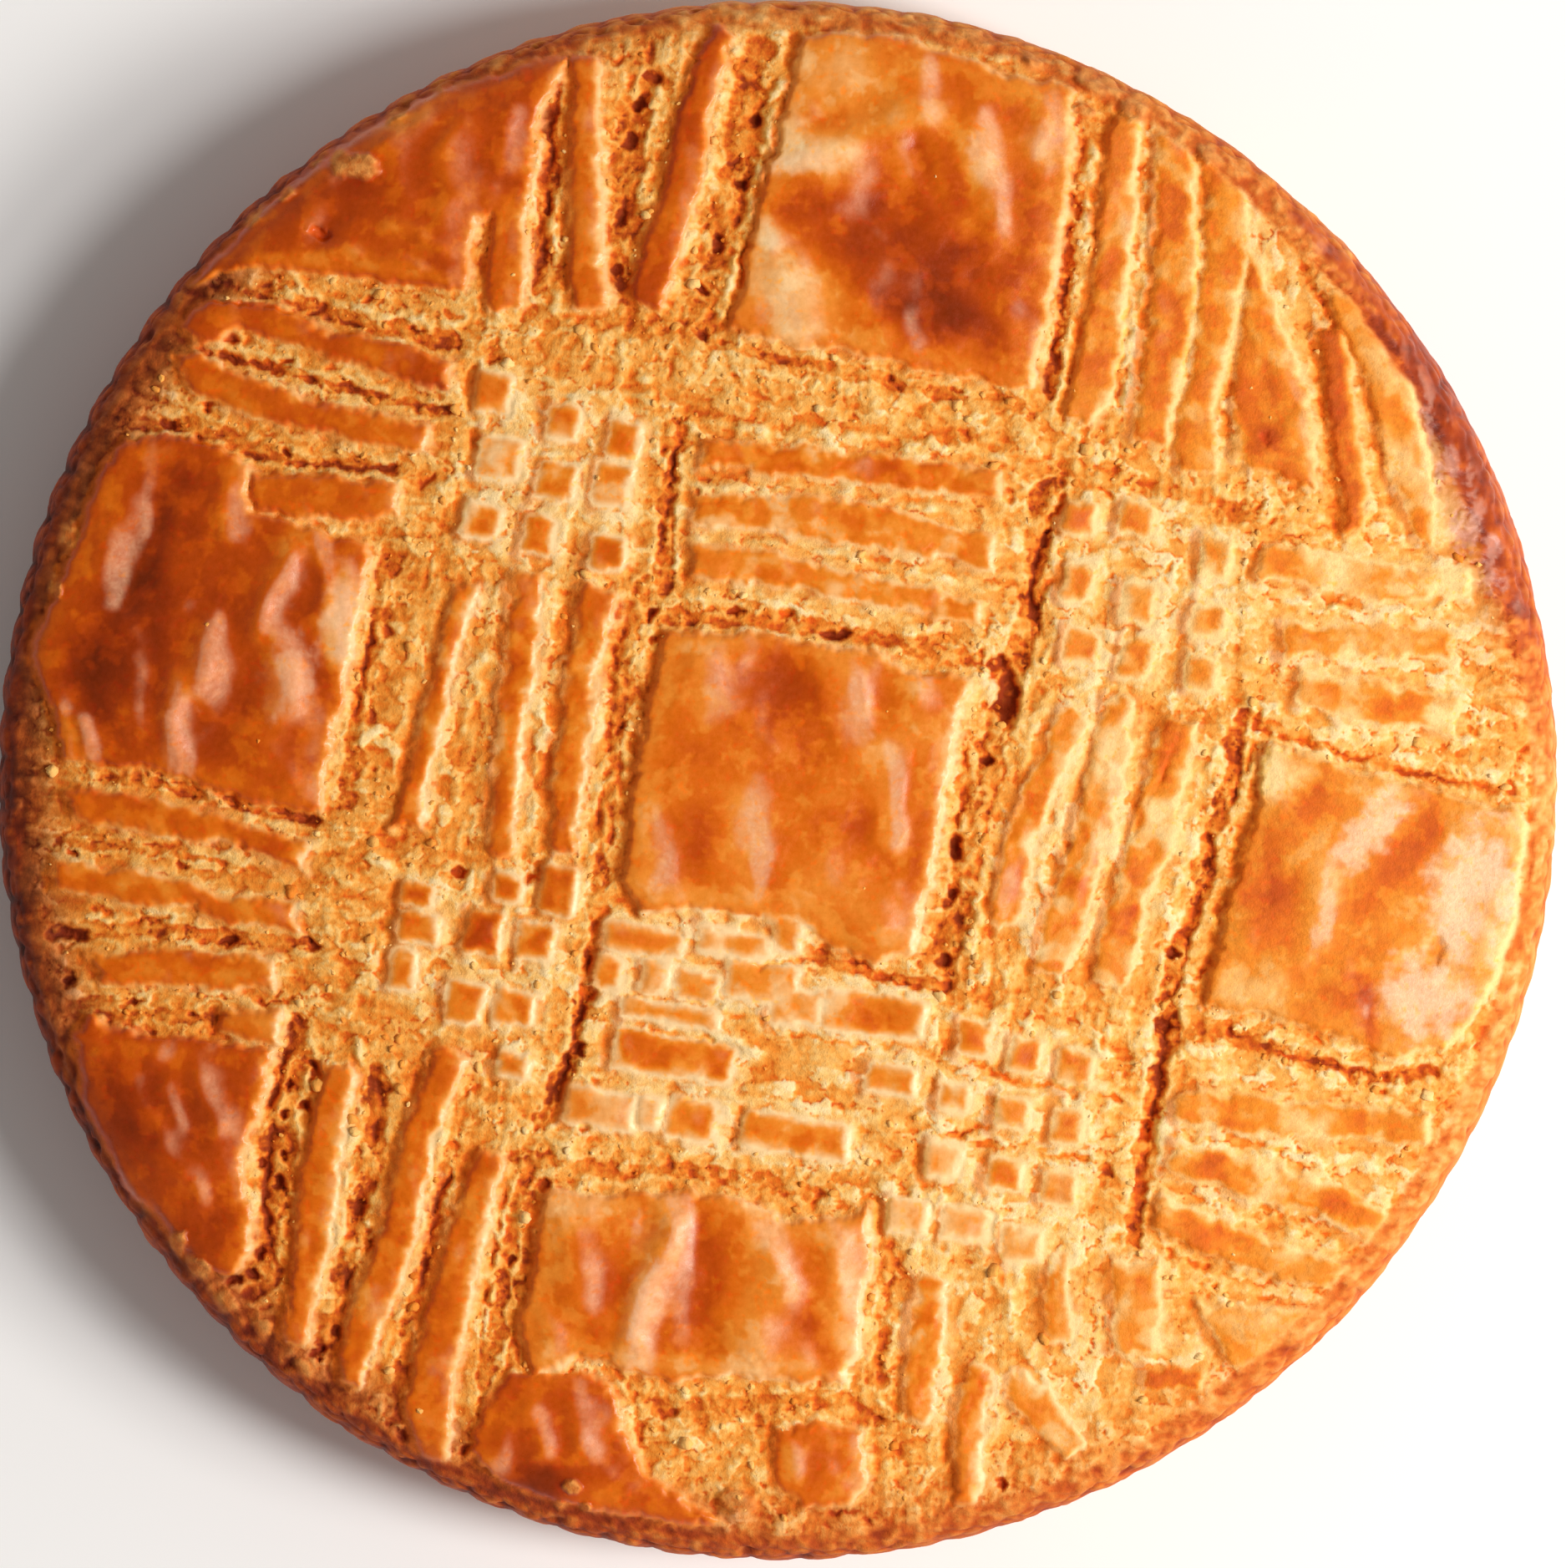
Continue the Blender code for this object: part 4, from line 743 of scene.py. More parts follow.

# Spots on the glaze. Most are browning. Some dark ones are painted shade on slopes that face away from the light, and
# some lighter ones are painted highlights.
BROWNING_AND_PAINTED_LIGHT_SPOTS = [  # browner or, with a negative amount, paler glaze: middle, half sizes, angle, amount
    ((1536, 672), (24, 30), 0, 0.36), ((1606, 682), (34, 30), 0, -0.50), ((1676, 700), (30, 26), 0, 0.24), ((1738, 700), (26, 26), 0, -0.60),
    ((1568, 766), (30, 28), 0, 0.26), ((1650, 768), (40, 24), 0, -0.16), ((1744, 760), (20, 24), 0, 0.36), ((1590, 832), (26, 26), 0, 0.16), ((1676, 848), (36, 26), 0, 0.26), ((1726, 858), (16, 22), 0, -0.4),
    ((1204, 1060), (22, 50), 10, 0.28), ((1236, 960), (20, 60), 14, 0.14), ((1300, 1030), (22, 60), 10, 0.30), ((1330, 900), (16, 40), 10, -0.40), ((1290, 1120), (24, 44), 12, 0.28),
    ((1396, 900), (24, 50), 8, 0.28), ((1388, 990), (18, 26), 10, -0.40), ((1350, 1080), (24, 60), 14, 0.30), ((1460, 1340), (40, 24), 8, 0.30), ((1560, 1350), (30, 20), 8, -0.3),
    ((1640, 1350), (30, 20), 8, 0.2), ((1450, 1400), (26, 24), 8, 0.3), ((1520, 1420), (24, 22), 8, -0.3), ((1600, 1440), (30, 20), 8, 0.3), ((1440, 1476), (24, 22), 8, 0.3),
    ((1095, 315), (125, 80), 24, 0.56), ((1150, 395), (110, 44), 10, 0.30), ((990, 236), (66, 22), 4, 0.24), ((1140, 205), (16, 46), -18, 0.28),
    ((1230, 330), (34, 70), 0, 0.16), ((940, 840), (80, 66), 10, 0.30),
    ((850, 986), (30, 44), 0, 0.22), ((1010, 990), (40, 30), 0, 0.26), ((1104, 990), (12, 130), 8, 0.22), ((800, 880), (30, 60), 10, 0.12),
    ((1520, 1076), (44, 60), 10, 0.30), ((1546, 984), (26, 70), 39, 0.22), ((1524, 920), (44, 34), 10, -0.66), ((1640, 990), (26, 60), 39, -0.2),
    ((1698, 1014), (22, 84), 39, 0.26), ((1612, 1190), (30, 36), -20, 0.36), ((1500, 1180), (60, 26), 10, -0.3), ((1640, 1220), (10, 46), -8, 0.40), ((1740, 1100), (60, 120), 10, -0.26),
    ((855, 1530), (42, 90), 8, 0.26), ((980, 1600), (16, 56), -30, 0.22), ((700, 1600), (40, 20), 0, 0.16), ((650, 1775), (42, 24), 10, 0.45),
    ((860, 1815), (30, 16), 10, 0.4), ((170, 720), (60, 120), 10, 0.12), ((250, 600), (60, 40), 0, 0.14), ((110, 800), (50, 60), 0, 0.16),
    ((150, 1330), (70, 60), 30, 0.28), ((260, 240), (50, 40), 0, 0.22), ((360, 200), (50, 40), 0, 0.2), ((600, 130), (50, 50), 0, 0.1),
    ((1010, 100), (90, 60), 20, -0.40), ((950, 352), (80, 60), 30, -0.56), ((965, 182), (60, 30), 0, -0.50), ((1200, 190), (60, 50), 0, -0.24), ((915, 285), (16, 26), 0, -0.5),
    ((1225, 260), (40, 60), 0, 0.20), ((140, 760), (70, 110), 10, 0.30), ((404, 740), (20, 60), 8, -0.70), ((345, 820), (26, 40), 0, -0.24), ((200, 600), (60, 50), 0, 0.16), ((860, 1540), (40, 60), 0, -0.12), ((1760, 1080), (40, 120), 0, -0.10), ((1580, 1120), (60, 60), 0, -0.16),
    ((700, 1530), (50, 60), 0, 0.20), ((690, 1440), (60, 22), 0, -0.30), ((960, 1446), (60, 20), 8, -0.28), ((840, 1636), (90, 14), 6, -0.32), ((1012, 1540), (18, 80), 0, -0.20), ((460, 300), (60, 40), 0, -0.10), ((400, 900), (30, 80), 0, -0.06), ((1515, 525), (22, 20), 0, 0.35),
]
mottle = step(0.10, 0.50, fbm(U / 44, V / 44, 138, 4, 0.6) + 0.25 * (1 - step(8, 60, skin))) * step(4, 20, skin)
glaze = brown + 0.07 * fbm(U / 95, V / 95, 130, 3) + 0.025 * fbm(U / 26, V / 26, 134, 2) - 0.12 * mottle
# The glaze is paler along the islands' edges, where it is thin. On the right and front edges, which face the light, it
# is painted wider and paler: painted light.
margin = (0.20 + 0.40 * right_side + 0.18 * front_side) * (1 - step(-3, 7 + 12 * right_side + 3 * big, skin))
margin += pressed * (1 - big) * (0.34 * step(0.0, 0.5, noise(U / 34, V / 34, 142)) + 0.12 * (flake_own - 0.5) * flake_flat - 0.12 * step(3, 12, skin))
margin += tile * (0.42 * (1 - step(-6, 17, skin)) + 0.12 * (right_side + front_side) * (1 - step(3, 18, skin)))
glaze += 0.08 * step(10, 50, skin) - margin - 0.03 * side_tone + 0.03 * noise(U / 9, V / 9, 137) - pressed * (1 - big) * (0.05 + 0.04 * tile)
# Paler on the crests of the skin's folds and darker in their hollows: painted light and shade.
glaze -= 0.12 * np.clip((relief - blur(relief, 40)) / 0.3, -1, 1)
for (mu, mv), (au, av), angle, amount in BROWNING_AND_PAINTED_LIGHT_SPOTS:
    place = window([(mu, mv)], 3 * max(au, av))
    c, s = math.cos(math.radians(angle)), math.sin(math.radians(angle))
    p, q = ((UW[place] - mu) * c + (VW[place] - mv) * s) / au, ((VW[place] - mv) * c - (UW[place] - mu) * s) / av
    soft_edge = np.hypot(p, q) + 0.35 * noise(U[place] / 40, V[place] / 40, 136)
    glaze[place] += 0.6 * amount * (1 - step(0.2, 1.45, soft_edge))
GLAZE_STOPS = [
    (0.00, (248, 208, 152)), (0.22, (242, 176, 106)), (0.42, (232, 136, 42)), (0.60, (218, 103, 8)),
    (0.78, (191, 73, 1)), (1.00, (153, 50, 1)), (1.20, (107, 34, 1)),
]
glaze_colour = ramp(glaze, GLAZE_STOPS)
glaze_colour = glaze_colour * (1 - step(0.05, 0.60, side_tone)[..., None] * np.array([0.0, 0.0, 1.0]) * (0.20 + 0.26 * step(0.25, 0.5, glaze))[..., None])
glaze_colour = glaze_colour * (1 - (pressed * (1 - big) * step(0.25, 0.5, glaze))[..., None] * np.array([-0.06, -0.02, 0.50]))
# Painted highlight: the glaze is painted a light pinkish cream where folds and island edges face the light on the
# right, and in the spots listed below, standing in for glossy highlights.
form = blur(relief + 0.8 * dome + 0.12 * noise(U / 26, V / 26, 194) * (1 - big), 3.0)
facing = -np.gradient(form, STEP * 0.096, axis=1)
facing = 0.5 * facing + 0.5 * np.roll(facing, -int(round(9 / STEP)), axis=1)
painted_highlight = step(0.04, 0.20, facing) * (0.72 + 0.28 * step(-0.35, 0.35, noise(U / 5, V / 5, 190) + noise(U / 14, V / 14, 191))) * step(2, 10, skin)
painted_highlight *= (0.55 + 0.20 * big) * (1 - 0.5 * step(0.30, 0.60, side_tone))
# Places where a highlight is painted on the skin.
PAINTED_HIGHLIGHTS = [  # middle, half sizes, angle, share
    ((1764, 1075), (56, 105), 14, 1.0), ((1706, 1196), (64, 52), 0, 0.95), ((1640, 996), (28, 66), 39, 0.9), ((1586, 1090), (15, 50), 4, 0.7),
    ((345, 812), (30, 50), 12, 1.0), ((352, 690), (14, 60), 24, 0.15), ((404, 745), (26, 60), 8, 1.0), ((206, 870), (14, 60), 4, 0.6), ((244, 790), (16, 44), 10, 0.6),
    ((772, 1560), (24, 66), 14, 1.0), ((770, 1478), (16, 30), 10, 0.5), ((926, 1480), (26, 34), -20, 0.4), ((962, 190), (52, 18), -8, 0.6), ((1182, 190), (20, 56), -10, 0.5),
    ((1252, 168), (30, 26), 0, 0.5), ((930, 372), (40, 24), 8, 0.4), ((1022, 866), (22, 38), -8, 0.4), ((892, 990), (20, 34), 0, 0.4), ((790, 1010), (20, 34), 0, 0.3),
    ((560, 250), (14, 60), 10, 0.3),
]
for (mu, mv), (au, av), angle, share in PAINTED_HIGHLIGHTS:
    place = window([(mu, mv)], 2.2 * max(au, av))
    c, n = math.cos(math.radians(angle)), math.sin(math.radians(angle))
    p, q = ((UW[place] - mu) * c + (VW[place] - mv) * n) / au, ((VW[place] - mv) * c - (UW[place] - mu) * n) / av
    patch = 1 - step(0.45, 1.15, np.hypot(p, q) + 0.45 * noise(U[place] / 24, V[place] / 24, 195) + 0.20 * noise(U[place] / 8, V[place] / 8, 196))
    painted_highlight[place] = np.maximum(painted_highlight[place], share * patch * step(2, 10, skin[place]))
painted_highlight *= 1 - 0.85 * step(0.02, 0.14, -facing)
painted_highlight *= 1 - 0.6 * (1 - step(560, 680, U)) * (1 - step(380, 440, V))
painted_highlight *= 0.82 + 0.18 * step(-0.3, 0.3, noise(U / 4, V / 4, 199))
# Colour of the painted highlight, creamier on the right.
painted_highlight_colour = mix(linear(236, 180, 138) * np.ones_like(glaze_colour), linear(247, 213, 178) * np.ones_like(glaze_colour), step(-0.7, 0.7, side_tone))
glaze_colour = mix(glaze_colour, painted_highlight_colour, (0.64 + 0.06 * np.abs(side_tone)) * painted_highlight)

# Browning of the shoulder and side round the cake. It is darker towards the left, away from the light on the right, and
# in the hollows, which is partly browning and partly painted shade.
BAKE_AND_SHADE = [(-180, 0.94), (-150, 0.88), (-115, 0.76), (-90, 0.66), (-60, 0.54), (-30, 0.40), (0, 0.36), (12, 0.64), (30, 0.74), (42, 0.56), (60, 0.44), (90, 0.46), (110, 0.62), (130, 0.78), (150, 0.90)]
BAKE_STOPS = [
    (0.00, (244, 202, 138)), (0.25, (234, 168, 92)), (0.45, (222, 130, 48)), (0.65, (196, 86, 14)),
    (0.82, (158, 54, 2)), (1.00, (112, 32, 0)), (1.20, (74, 18, 0)),
]
rim_form = height - blur(height, 12.0)
rim_bake_and_shade = turned_value(THETA, BAKE_AND_SHADE) - 0.11 * np.clip(rim_form / 0.16, -1.6, 1.6) - 0.05 * np.clip(fine_cavity, -1.5, 1.5) + 0.12 * fbm(U / 40, V / 40, 150, 3)
rim_bake_and_shade = rim_bake_and_shade + 0.12 * caramel
near_rim = step(78.5, 86.5, R) * (0.25 + 0.75 * step(0.40, 0.75, turned_value(THETA, BAKE_AND_SHADE)))
crumb_colour = mix(crumb_colour, ramp(rim_bake_and_shade - 0.05, BAKE_STOPS), 0.9 * near_rim)
colour = mix(crumb_colour, glaze_colour, cover)

# Broken sides of the islands: light-coloured crumb, painted palest where it faces the light on the right, which is
# painted light. Sides that face away to the left are painted saturated orange, which is painted shade.
edge_band = step(-1.3, -0.5, skin / flank) * (1 - step(0.5, 6.0, skin)) * (1 - step(0.2, 0.7, cut))
left_shade_band = step(-2.0, -0.9, skin / flank) * (1 - step(-1.0, 3.0, skin)) * left_side
# Painted light: the light-coloured broken edge is strongest on sides that face right, towards the light.
lit_pale_edge = edge_band * (0.06 + 0.86 * right_side + 0.12 * front_side) * step(-0.50, 0.40, noise(U / 25, V / 25, 140) + 0.4 * noise(U / 7, V / 7, 141))
lit_pale_edge = np.clip(lit_pale_edge + 0.42 * pressed * edge_band * step(0.25, 0.6, flake_own) + 0.12 * tile * edge_band, 0, 1)
lit_pale_edge *= (1 - near_rim) * (0.60 - 0.16 * pressed) * (1 - 0.4 * big) * (1 - 0.6 * pressed * (1 - step(0.25, 0.5, flake_own)))
# Painted shade: sides that face away from the light, to the left, are turned saturated orange.
colour = mix(colour, linear(214, 108, 6) * np.ones_like(colour), left_shade_band * 0.85 * (1 - rim))
edge_colour = mix(linear(240, 194, 128) * np.ones_like(colour), linear(243, 202, 138) * np.ones_like(colour), pressed)
colour = mix(colour, edge_colour, np.clip(lit_pale_edge, 0, 0.9) * (1 - rim))
colour = mix(colour, ramp(rim_bake_and_shade, BAKE_STOPS), step(-0.3, 0.8, R - rim_start + 0.5 * noise(U / 30, V / 30, 151)))
toasted = mix(linear(196, 104, 34) * np.ones_like(colour), linear(224, 146, 70) * np.ones_like(colour), step(-0.4, 0.4, noise(U / 12, V / 12, 192) + 0.5 * noise(U / 5, V / 5, 193)))
colour = mix(colour, toasted, 0.85 * lump)
# Painted shade: steep slopes that face away from the light, the strip to the left of each step where its shadow falls,
# and deep hollows are painted warmer and more orange, standing in for light scattered inside the dough.
rise = np.gradient(blur(height, 1.0), STEP * 0.096, axis=1)
steep = step(0.10, 0.8, rise)
cast_shadow_foot = np.roll(blur(step(0.25, 0.8, rise), 2.5), -int(round(5 / STEP)), axis=1)
shaded = np.clip(np.maximum(steep, 0.9 * np.clip(1.5 * cast_shadow_foot, 0, 1)) + step(0.6, 1.8, -fine_cavity), 0, 1)
colour = colour * (1 - (shaded * (1 - rim))[..., None] * np.array([-0.12, 0.13, 0.56]))
# Painted light: slopes that face the light on the right are painted slightly duller and less yellow.
lit = step(0.4, 1.4, -rise)
colour = colour * (1 - (lit * (1 - rim))[..., None] * np.array([0.04, 0.13, 0.06]))
# Painted highlight: light pinkish patches on the glossy caramel slope at the back right.
caramel_painted_highlight = caramel * step(79.5, 82, R) * (1 - step(86.5, 88, R)) * step(-0.05, 0.30, noise(U / 20, V / 44, 197) + 0.4 * noise(U / 7, V / 7, 198))
colour = mix(colour, linear(206, 146, 124) * np.ones_like(colour), 0.55 * caramel_painted_highlight)
gloss = np.clip(cover * (1 - 0.85 * left_side * (1 - step(-2, 9, skin))) * (1 - 0.80 * step(0.20, 0.60, side_tone)) + 0.8 * caramel * step(80, 83, R + 6 * caramel), 0, 1)

# ------------------------------------------------------------ side and base
# Profile of the side in mm (radius, height), from the sewn edge downwards.
first_z = float(np.interp(TOP_RADIUS + 0.15, fine_r, fine_z))
SIDE_FORM = np.array([
    (TOP_RADIUS + 0.15, first_z), (87.3, 23.65), (88.3, 22.4), (89.0, 20.8), (89.45, 18.6), (89.7, 15.5), (89.7, 12.0),
    (89.45, 8.5), (89.1, 5.2), (88.6, 2.6), (88.0, 1.2), (87.2, 0.35), (86.4, 0.06),
])
walk = np.concatenate([[0], np.cumsum(np.hypot(*np.diff(SIDE_FORM, axis=0).T))])
rows = np.concatenate([np.linspace(0, 7.0, 25), np.linspace(7.0, walk[-1], 38)[1:]])


def smooth_interp(x, xs, ys):
    fine = np.linspace(xs[0], xs[-1], 1200)
    values = np.interp(fine, xs, ys)
    half = 26
    padded = np.concatenate([2 * values[0] - values[half:0:-1], values, 2 * values[-1] - values[-2:-half - 2:-1]])
    k = np.hanning(2 * half + 1)
    return np.interp(x, fine, np.convolve(padded, k / k.sum(), "valid"))


row_r, row_z = smooth_interp(rows, walk, SIDE_FORM[:, 0]), smooth_interp(rows, walk, SIDE_FORM[:, 1])
normal_r, normal_z = -np.gradient(row_z, rows), np.gradient(row_r, rows)
norm = np.hypot(normal_r, normal_z)
normal_r, normal_z = normal_r / norm, normal_z / norm
TURN_S, S = np.meshgrid(np.arange(SIDE_COLUMNS) * 2 * np.pi / SIDE_COLUMNS, rows)
DEG = np.degrees(TURN_S)


def round_noise(turn, s, across, down, seed, octaves=3, gain=0.5):
    """Noise on the side that closes round the cake: across and down are wavelengths in mm."""
    total, share = 0.0, 1.0
    for k in range(octaves):
        size = 2.0**k
        n = max(int(round(565 / across * size)), 3)
        x = turn / (2 * np.pi) * n
        whole = np.floor(x)
        a = noise(x - whole + np.mod(whole, n), s / down * size + 5.3 * k, seed + k)
        b = noise(x - whole + np.mod(whole, n) - n, s / down * size + 5.3 * k, seed + k)
        blend = np.clip(x / n * 8 - 7, 0, 1)
        total = total + share * (a + (b - a) * blend)
        share *= gain
    return total


def round_cells(turn, s, size, seed):
    n = int(round(565 / size))
    x = turn / (2 * np.pi) * n
    a, b, own = cells(x, s / size, seed)
    c, d, own_2 = cells(x - n, s / size, seed)
    blend = np.clip(x / n * 8 - 7, 0, 1)
    return a + (c - a) * blend, b + (d - b) * blend, np.where(blend > 0.5, own_2, own)


flute_size = turned_value(np.mod(DEG + 180, 360) - 180, [(-180, 0.26), (-120, 0.22), (-60, 0.12), (0, 0.12), (30, 0.06), (70, 0.08), (105, 0.22), (150, 0.26)])
sway = TURN_S + 0.008 * round_noise(TURN_S, S * 0, 60, 40, 160)
flutes = np.abs(np.cos(FLUTES / 2 * sway)) ** 0.8
fall = step(0.5, 5.5, S) * (1 - 0.5 * step(walk[-1] - 6, walk[-1], S))
side_rough = 0.16 * round_noise(TURN_S, S, 9, 5, 164, 4, 0.55) + 0.10 * round_noise(TURN_S, S, 2.2, 1.6, 168, 2)
ca, cb, cown = round_cells(TURN_S, S, 2.4, 172)
upper = 1 - step(3.0, 9.0, S)
side_rough += upper * (0.26 * (step(0, 0.5, cb - ca) - 0.5) + 0.24 * (cown - 0.5))
ledge = 0.09 * np.sin(S / 1.35 + 2.2 * round_noise(TURN_S, S * 0.3, 30, 8, 176)) * (1 - step(6, 11, S)) * step(1, 3, S)
pit_a, _, pit_o = round_cells(TURN_S, S, 4.6, 178)
side_pits = 0.5 * (pit_o > 0.66) * (1 - step(0.08, 0.30, pit_a)) * (0.35 + 0.65 * upper)
side_move = -flute_size * 1.7 * (1 - flutes) * fall + side_rough + ledge - side_pits
side_move = np.minimum(side_move - 0.02, 0.58) * (1 - 0.75 * step(walk[-1] - 3.0, walk[-1] - 0.4, S))


def on_grid(field, x, y):
    """Value of one of the top's fields at places in mm."""
    j, i = (x / PX + CENTRE_U - U0) / STEP, (CENTRE_V - y / PX - V0) / STEP
    j, i = np.clip(j, 0, COUNT - 1.001), np.clip(i, 0, COUNT - 1.001)
    j0, i0 = j.astype(int), i.astype(int)
    fj, fi = j - j0, i - i0
    if field.ndim == 3:
        fj, fi = fj[..., None], fi[..., None]
    low = field[i0, j0] * (1 - fj) + field[i0, j0 + 1] * fj
    high = field[i0 + 1, j0] * (1 - fj) + field[i0 + 1, j0 + 1] * fj
    return low * (1 - fi) + high * fi


flat_x, flat_y = row_r[:, None] * np.cos(TURN_S), row_r[:, None] * np.sin(TURN_S)
from_top = 1 - step(0.6, 3.4, S)
skin_over = 1 - step(1.6, 4.6, S)  # how far the top's colour runs down
top_move = on_grid(height, flat_x, flat_y)
move_r = side_move * normal_r[:, None] * (1 - from_top)
move_z = side_move * normal_z[:, None] * (1 - from_top) + top_move * from_top
side_r = np.minimum(row_r[:, None] + move_r, 89.97)
side_z = np.maximum(row_z[:, None] + move_z, 0.03)
side_z[-1] = 0.03
side_xyz = np.stack([side_r * np.cos(TURN_S), side_r * np.sin(TURN_S), side_z], -1)

side_blur = side_move.copy()
for axis, reach in ((1, 5), (0, 2)):
    total = sum(np.roll(side_blur, k, axis) for k in range(-reach, reach + 1))
    side_blur = total / (2 * reach + 1)
side_cavity = np.clip((side_move - side_blur) / 0.16, -1.6, 1.6)
# The side is darker towards the left and in its hollows: partly browning, partly painted shade.
side_bake_and_shade = turned_value(np.mod(DEG + 180, 360) - 180, BAKE_AND_SHADE) + 0.06 - 0.15 * side_cavity
side_bake_and_shade += 0.12 * round_noise(TURN_S, S, 22, 9, 180, 4) - 0.14 * step(9, 20, S) + 0.22 * step(walk[-1] - 5, walk[-1] - 1, S)
side_colour = mix(ramp(side_bake_and_shade, BAKE_STOPS), on_grid(colour, flat_x, flat_y), skin_over)
side_gloss = 0.34 * (1 - upper) * (1 - skin_over) + on_grid(gloss, flat_x, flat_y) * skin_over
caramel_turn = np.exp(-(((np.mod(DEG + 180, 360) - 180 - 26) / 17) ** 2)) * (1 - step(5, 12, S))
side_gloss = np.clip(side_gloss + 0.7 * caramel_turn + 0.12 * (1 - np.abs(np.clip((np.mod(DEG, 360) - 190) / 60, -1, 1))), 0, 1)

# Underside: flat rings towards the middle.
under_r = np.array([84.0, 78.0, 68.0, 54.0, 38.0, 20.0])
TURN_U, RU = np.meshgrid(np.arange(SIDE_COLUMNS) * 2 * np.pi / SIDE_COLUMNS, under_r)
under_xyz = np.stack([RU * np.cos(TURN_U), RU * np.sin(TURN_U), 0.03 + 0 * RU], -1)
under_bake = 0.66 + 0.10 * round_noise(TURN_U, RU, 16, 12, 190, 3) + 0.10 * step(70, 84, RU)
under_colour = ramp(under_bake, BAKE_STOPS)

# ------------------------------------------------------------------ one mesh
cells_in = (R[:-1, :-1] < TOP_RADIUS) & (R[1:, :-1] < TOP_RADIUS) & (R[:-1, 1:] < TOP_RADIUS) & (R[1:, 1:] < TOP_RADIUS)
ii, jj = np.nonzero(cells_in)
number = np.arange(COUNT * COUNT).reshape(COUNT, COUNT)
a, b, c, d = number[ii, jj], number[ii, jj + 1], number[ii + 1, jj + 1], number[ii + 1, jj]  # v runs to the front
zf = top_z.ravel()
cross = np.abs(zf[a] - zf[c]) < np.abs(zf[b] - zf[d])
one = np.where(cross[:, None], np.stack([a, d, c], 1), np.stack([a, d, b], 1))
two = np.where(cross[:, None], np.stack([a, c, b], 1), np.stack([b, d, c], 1))
top_tris = np.concatenate([one, two])

edge = np.zeros((COUNT, COUNT), bool)
used = np.zeros((COUNT + 1, COUNT + 1), int)
pad = np.zeros((COUNT + 1, COUNT + 1), bool)
pad[1:-1, 1:-1] = cells_in
around = pad[:-1, :-1].astype(int) + pad[1:, :-1] + pad[:-1, 1:] + pad[1:, 1:]
edge = (around > 0) & (around < 4)
loop = number[edge]
loop_turn = np.mod(np.arctan2(Y[edge], X[edge]), 2 * np.pi)
order = np.argsort(loop_turn)
loop, loop_turn = loop[order], loop_turn[order]

n_top = COUNT * COUNT
n_side = len(rows) * SIDE_COLUMNS
side_number = n_top + np.arange(n_side).reshape(len(rows), SIDE_COLUMNS)
under_number = n_top + n_side + np.arange(len(under_r) * SIDE_COLUMNS).reshape(len(under_r), SIDE_COLUMNS)
hub = n_top + n_side + len(under_r) * SIDE_COLUMNS

sewn = []
i = j = 0
ring_turn = np.arange(SIDE_COLUMNS) * 2 * np.pi / SIDE_COLUMNS
n_loop = len(loop)
while i < n_loop or j < SIDE_COLUMNS:
    next_loop = loop_turn[(i + 1) % n_loop] + 2 * np.pi * ((i + 1) // n_loop)
    next_ring = ring_turn[(j + 1) % SIDE_COLUMNS] + 2 * np.pi * ((j + 1) // SIDE_COLUMNS)
    if j >= SIDE_COLUMNS or (i < n_loop and next_loop <= next_ring):
        sewn.append((loop[i % n_loop], side_number[0, j % SIDE_COLUMNS], loop[(i + 1) % n_loop]))
        i += 1
    else:
        sewn.append((loop[i % n_loop], side_number[0, j % SIDE_COLUMNS], side_number[0, (j + 1) % SIDE_COLUMNS]))
        j += 1
sewn = np.array(sewn)

stack = np.concatenate([side_number, under_number])
nxt = np.roll(stack, -1, axis=1)
band_1 = np.stack([stack[:-1], stack[1:], nxt[1:]], -1).reshape(-1, 3)
band_2 = np.stack([stack[:-1], nxt[1:], nxt[:-1]], -1).reshape(-1, 3)
fan = np.stack([under_number[-1], np.full(SIDE_COLUMNS, hub), np.roll(under_number[-1], -1)], -1)

points = np.concatenate([
    np.stack([X, Y, top_z], -1).reshape(-1, 3), side_xyz.reshape(-1, 3), under_xyz.reshape(-1, 3), [[0, 0, 0.03]],
]) * 0.001
tones = np.concatenate([colour.reshape(-1, 3), side_colour.reshape(-1, 3), under_colour.reshape(-1, 3), ramp(np.array([0.66]), BAKE_STOPS)])
shines = np.concatenate([gloss.ravel(), side_gloss.ravel(), np.full(under_number.size + 1, 0.2)])
all_tris = np.concatenate([top_tris, sewn, band_1, band_2, fan])

corner = points[all_tris]
face_normal = np.cross(corner[:, 1] - corner[:, 0], corner[:, 2] - corner[:, 0])
normals = np.zeros_like(points)
for k in range(3):
    for axis in range(3):
        normals[:, axis] += np.bincount(all_tris[:, k], face_normal[:, axis], len(points))
normals /= np.linalg.norm(normals, axis=1, keepdims=True) + 1e-20


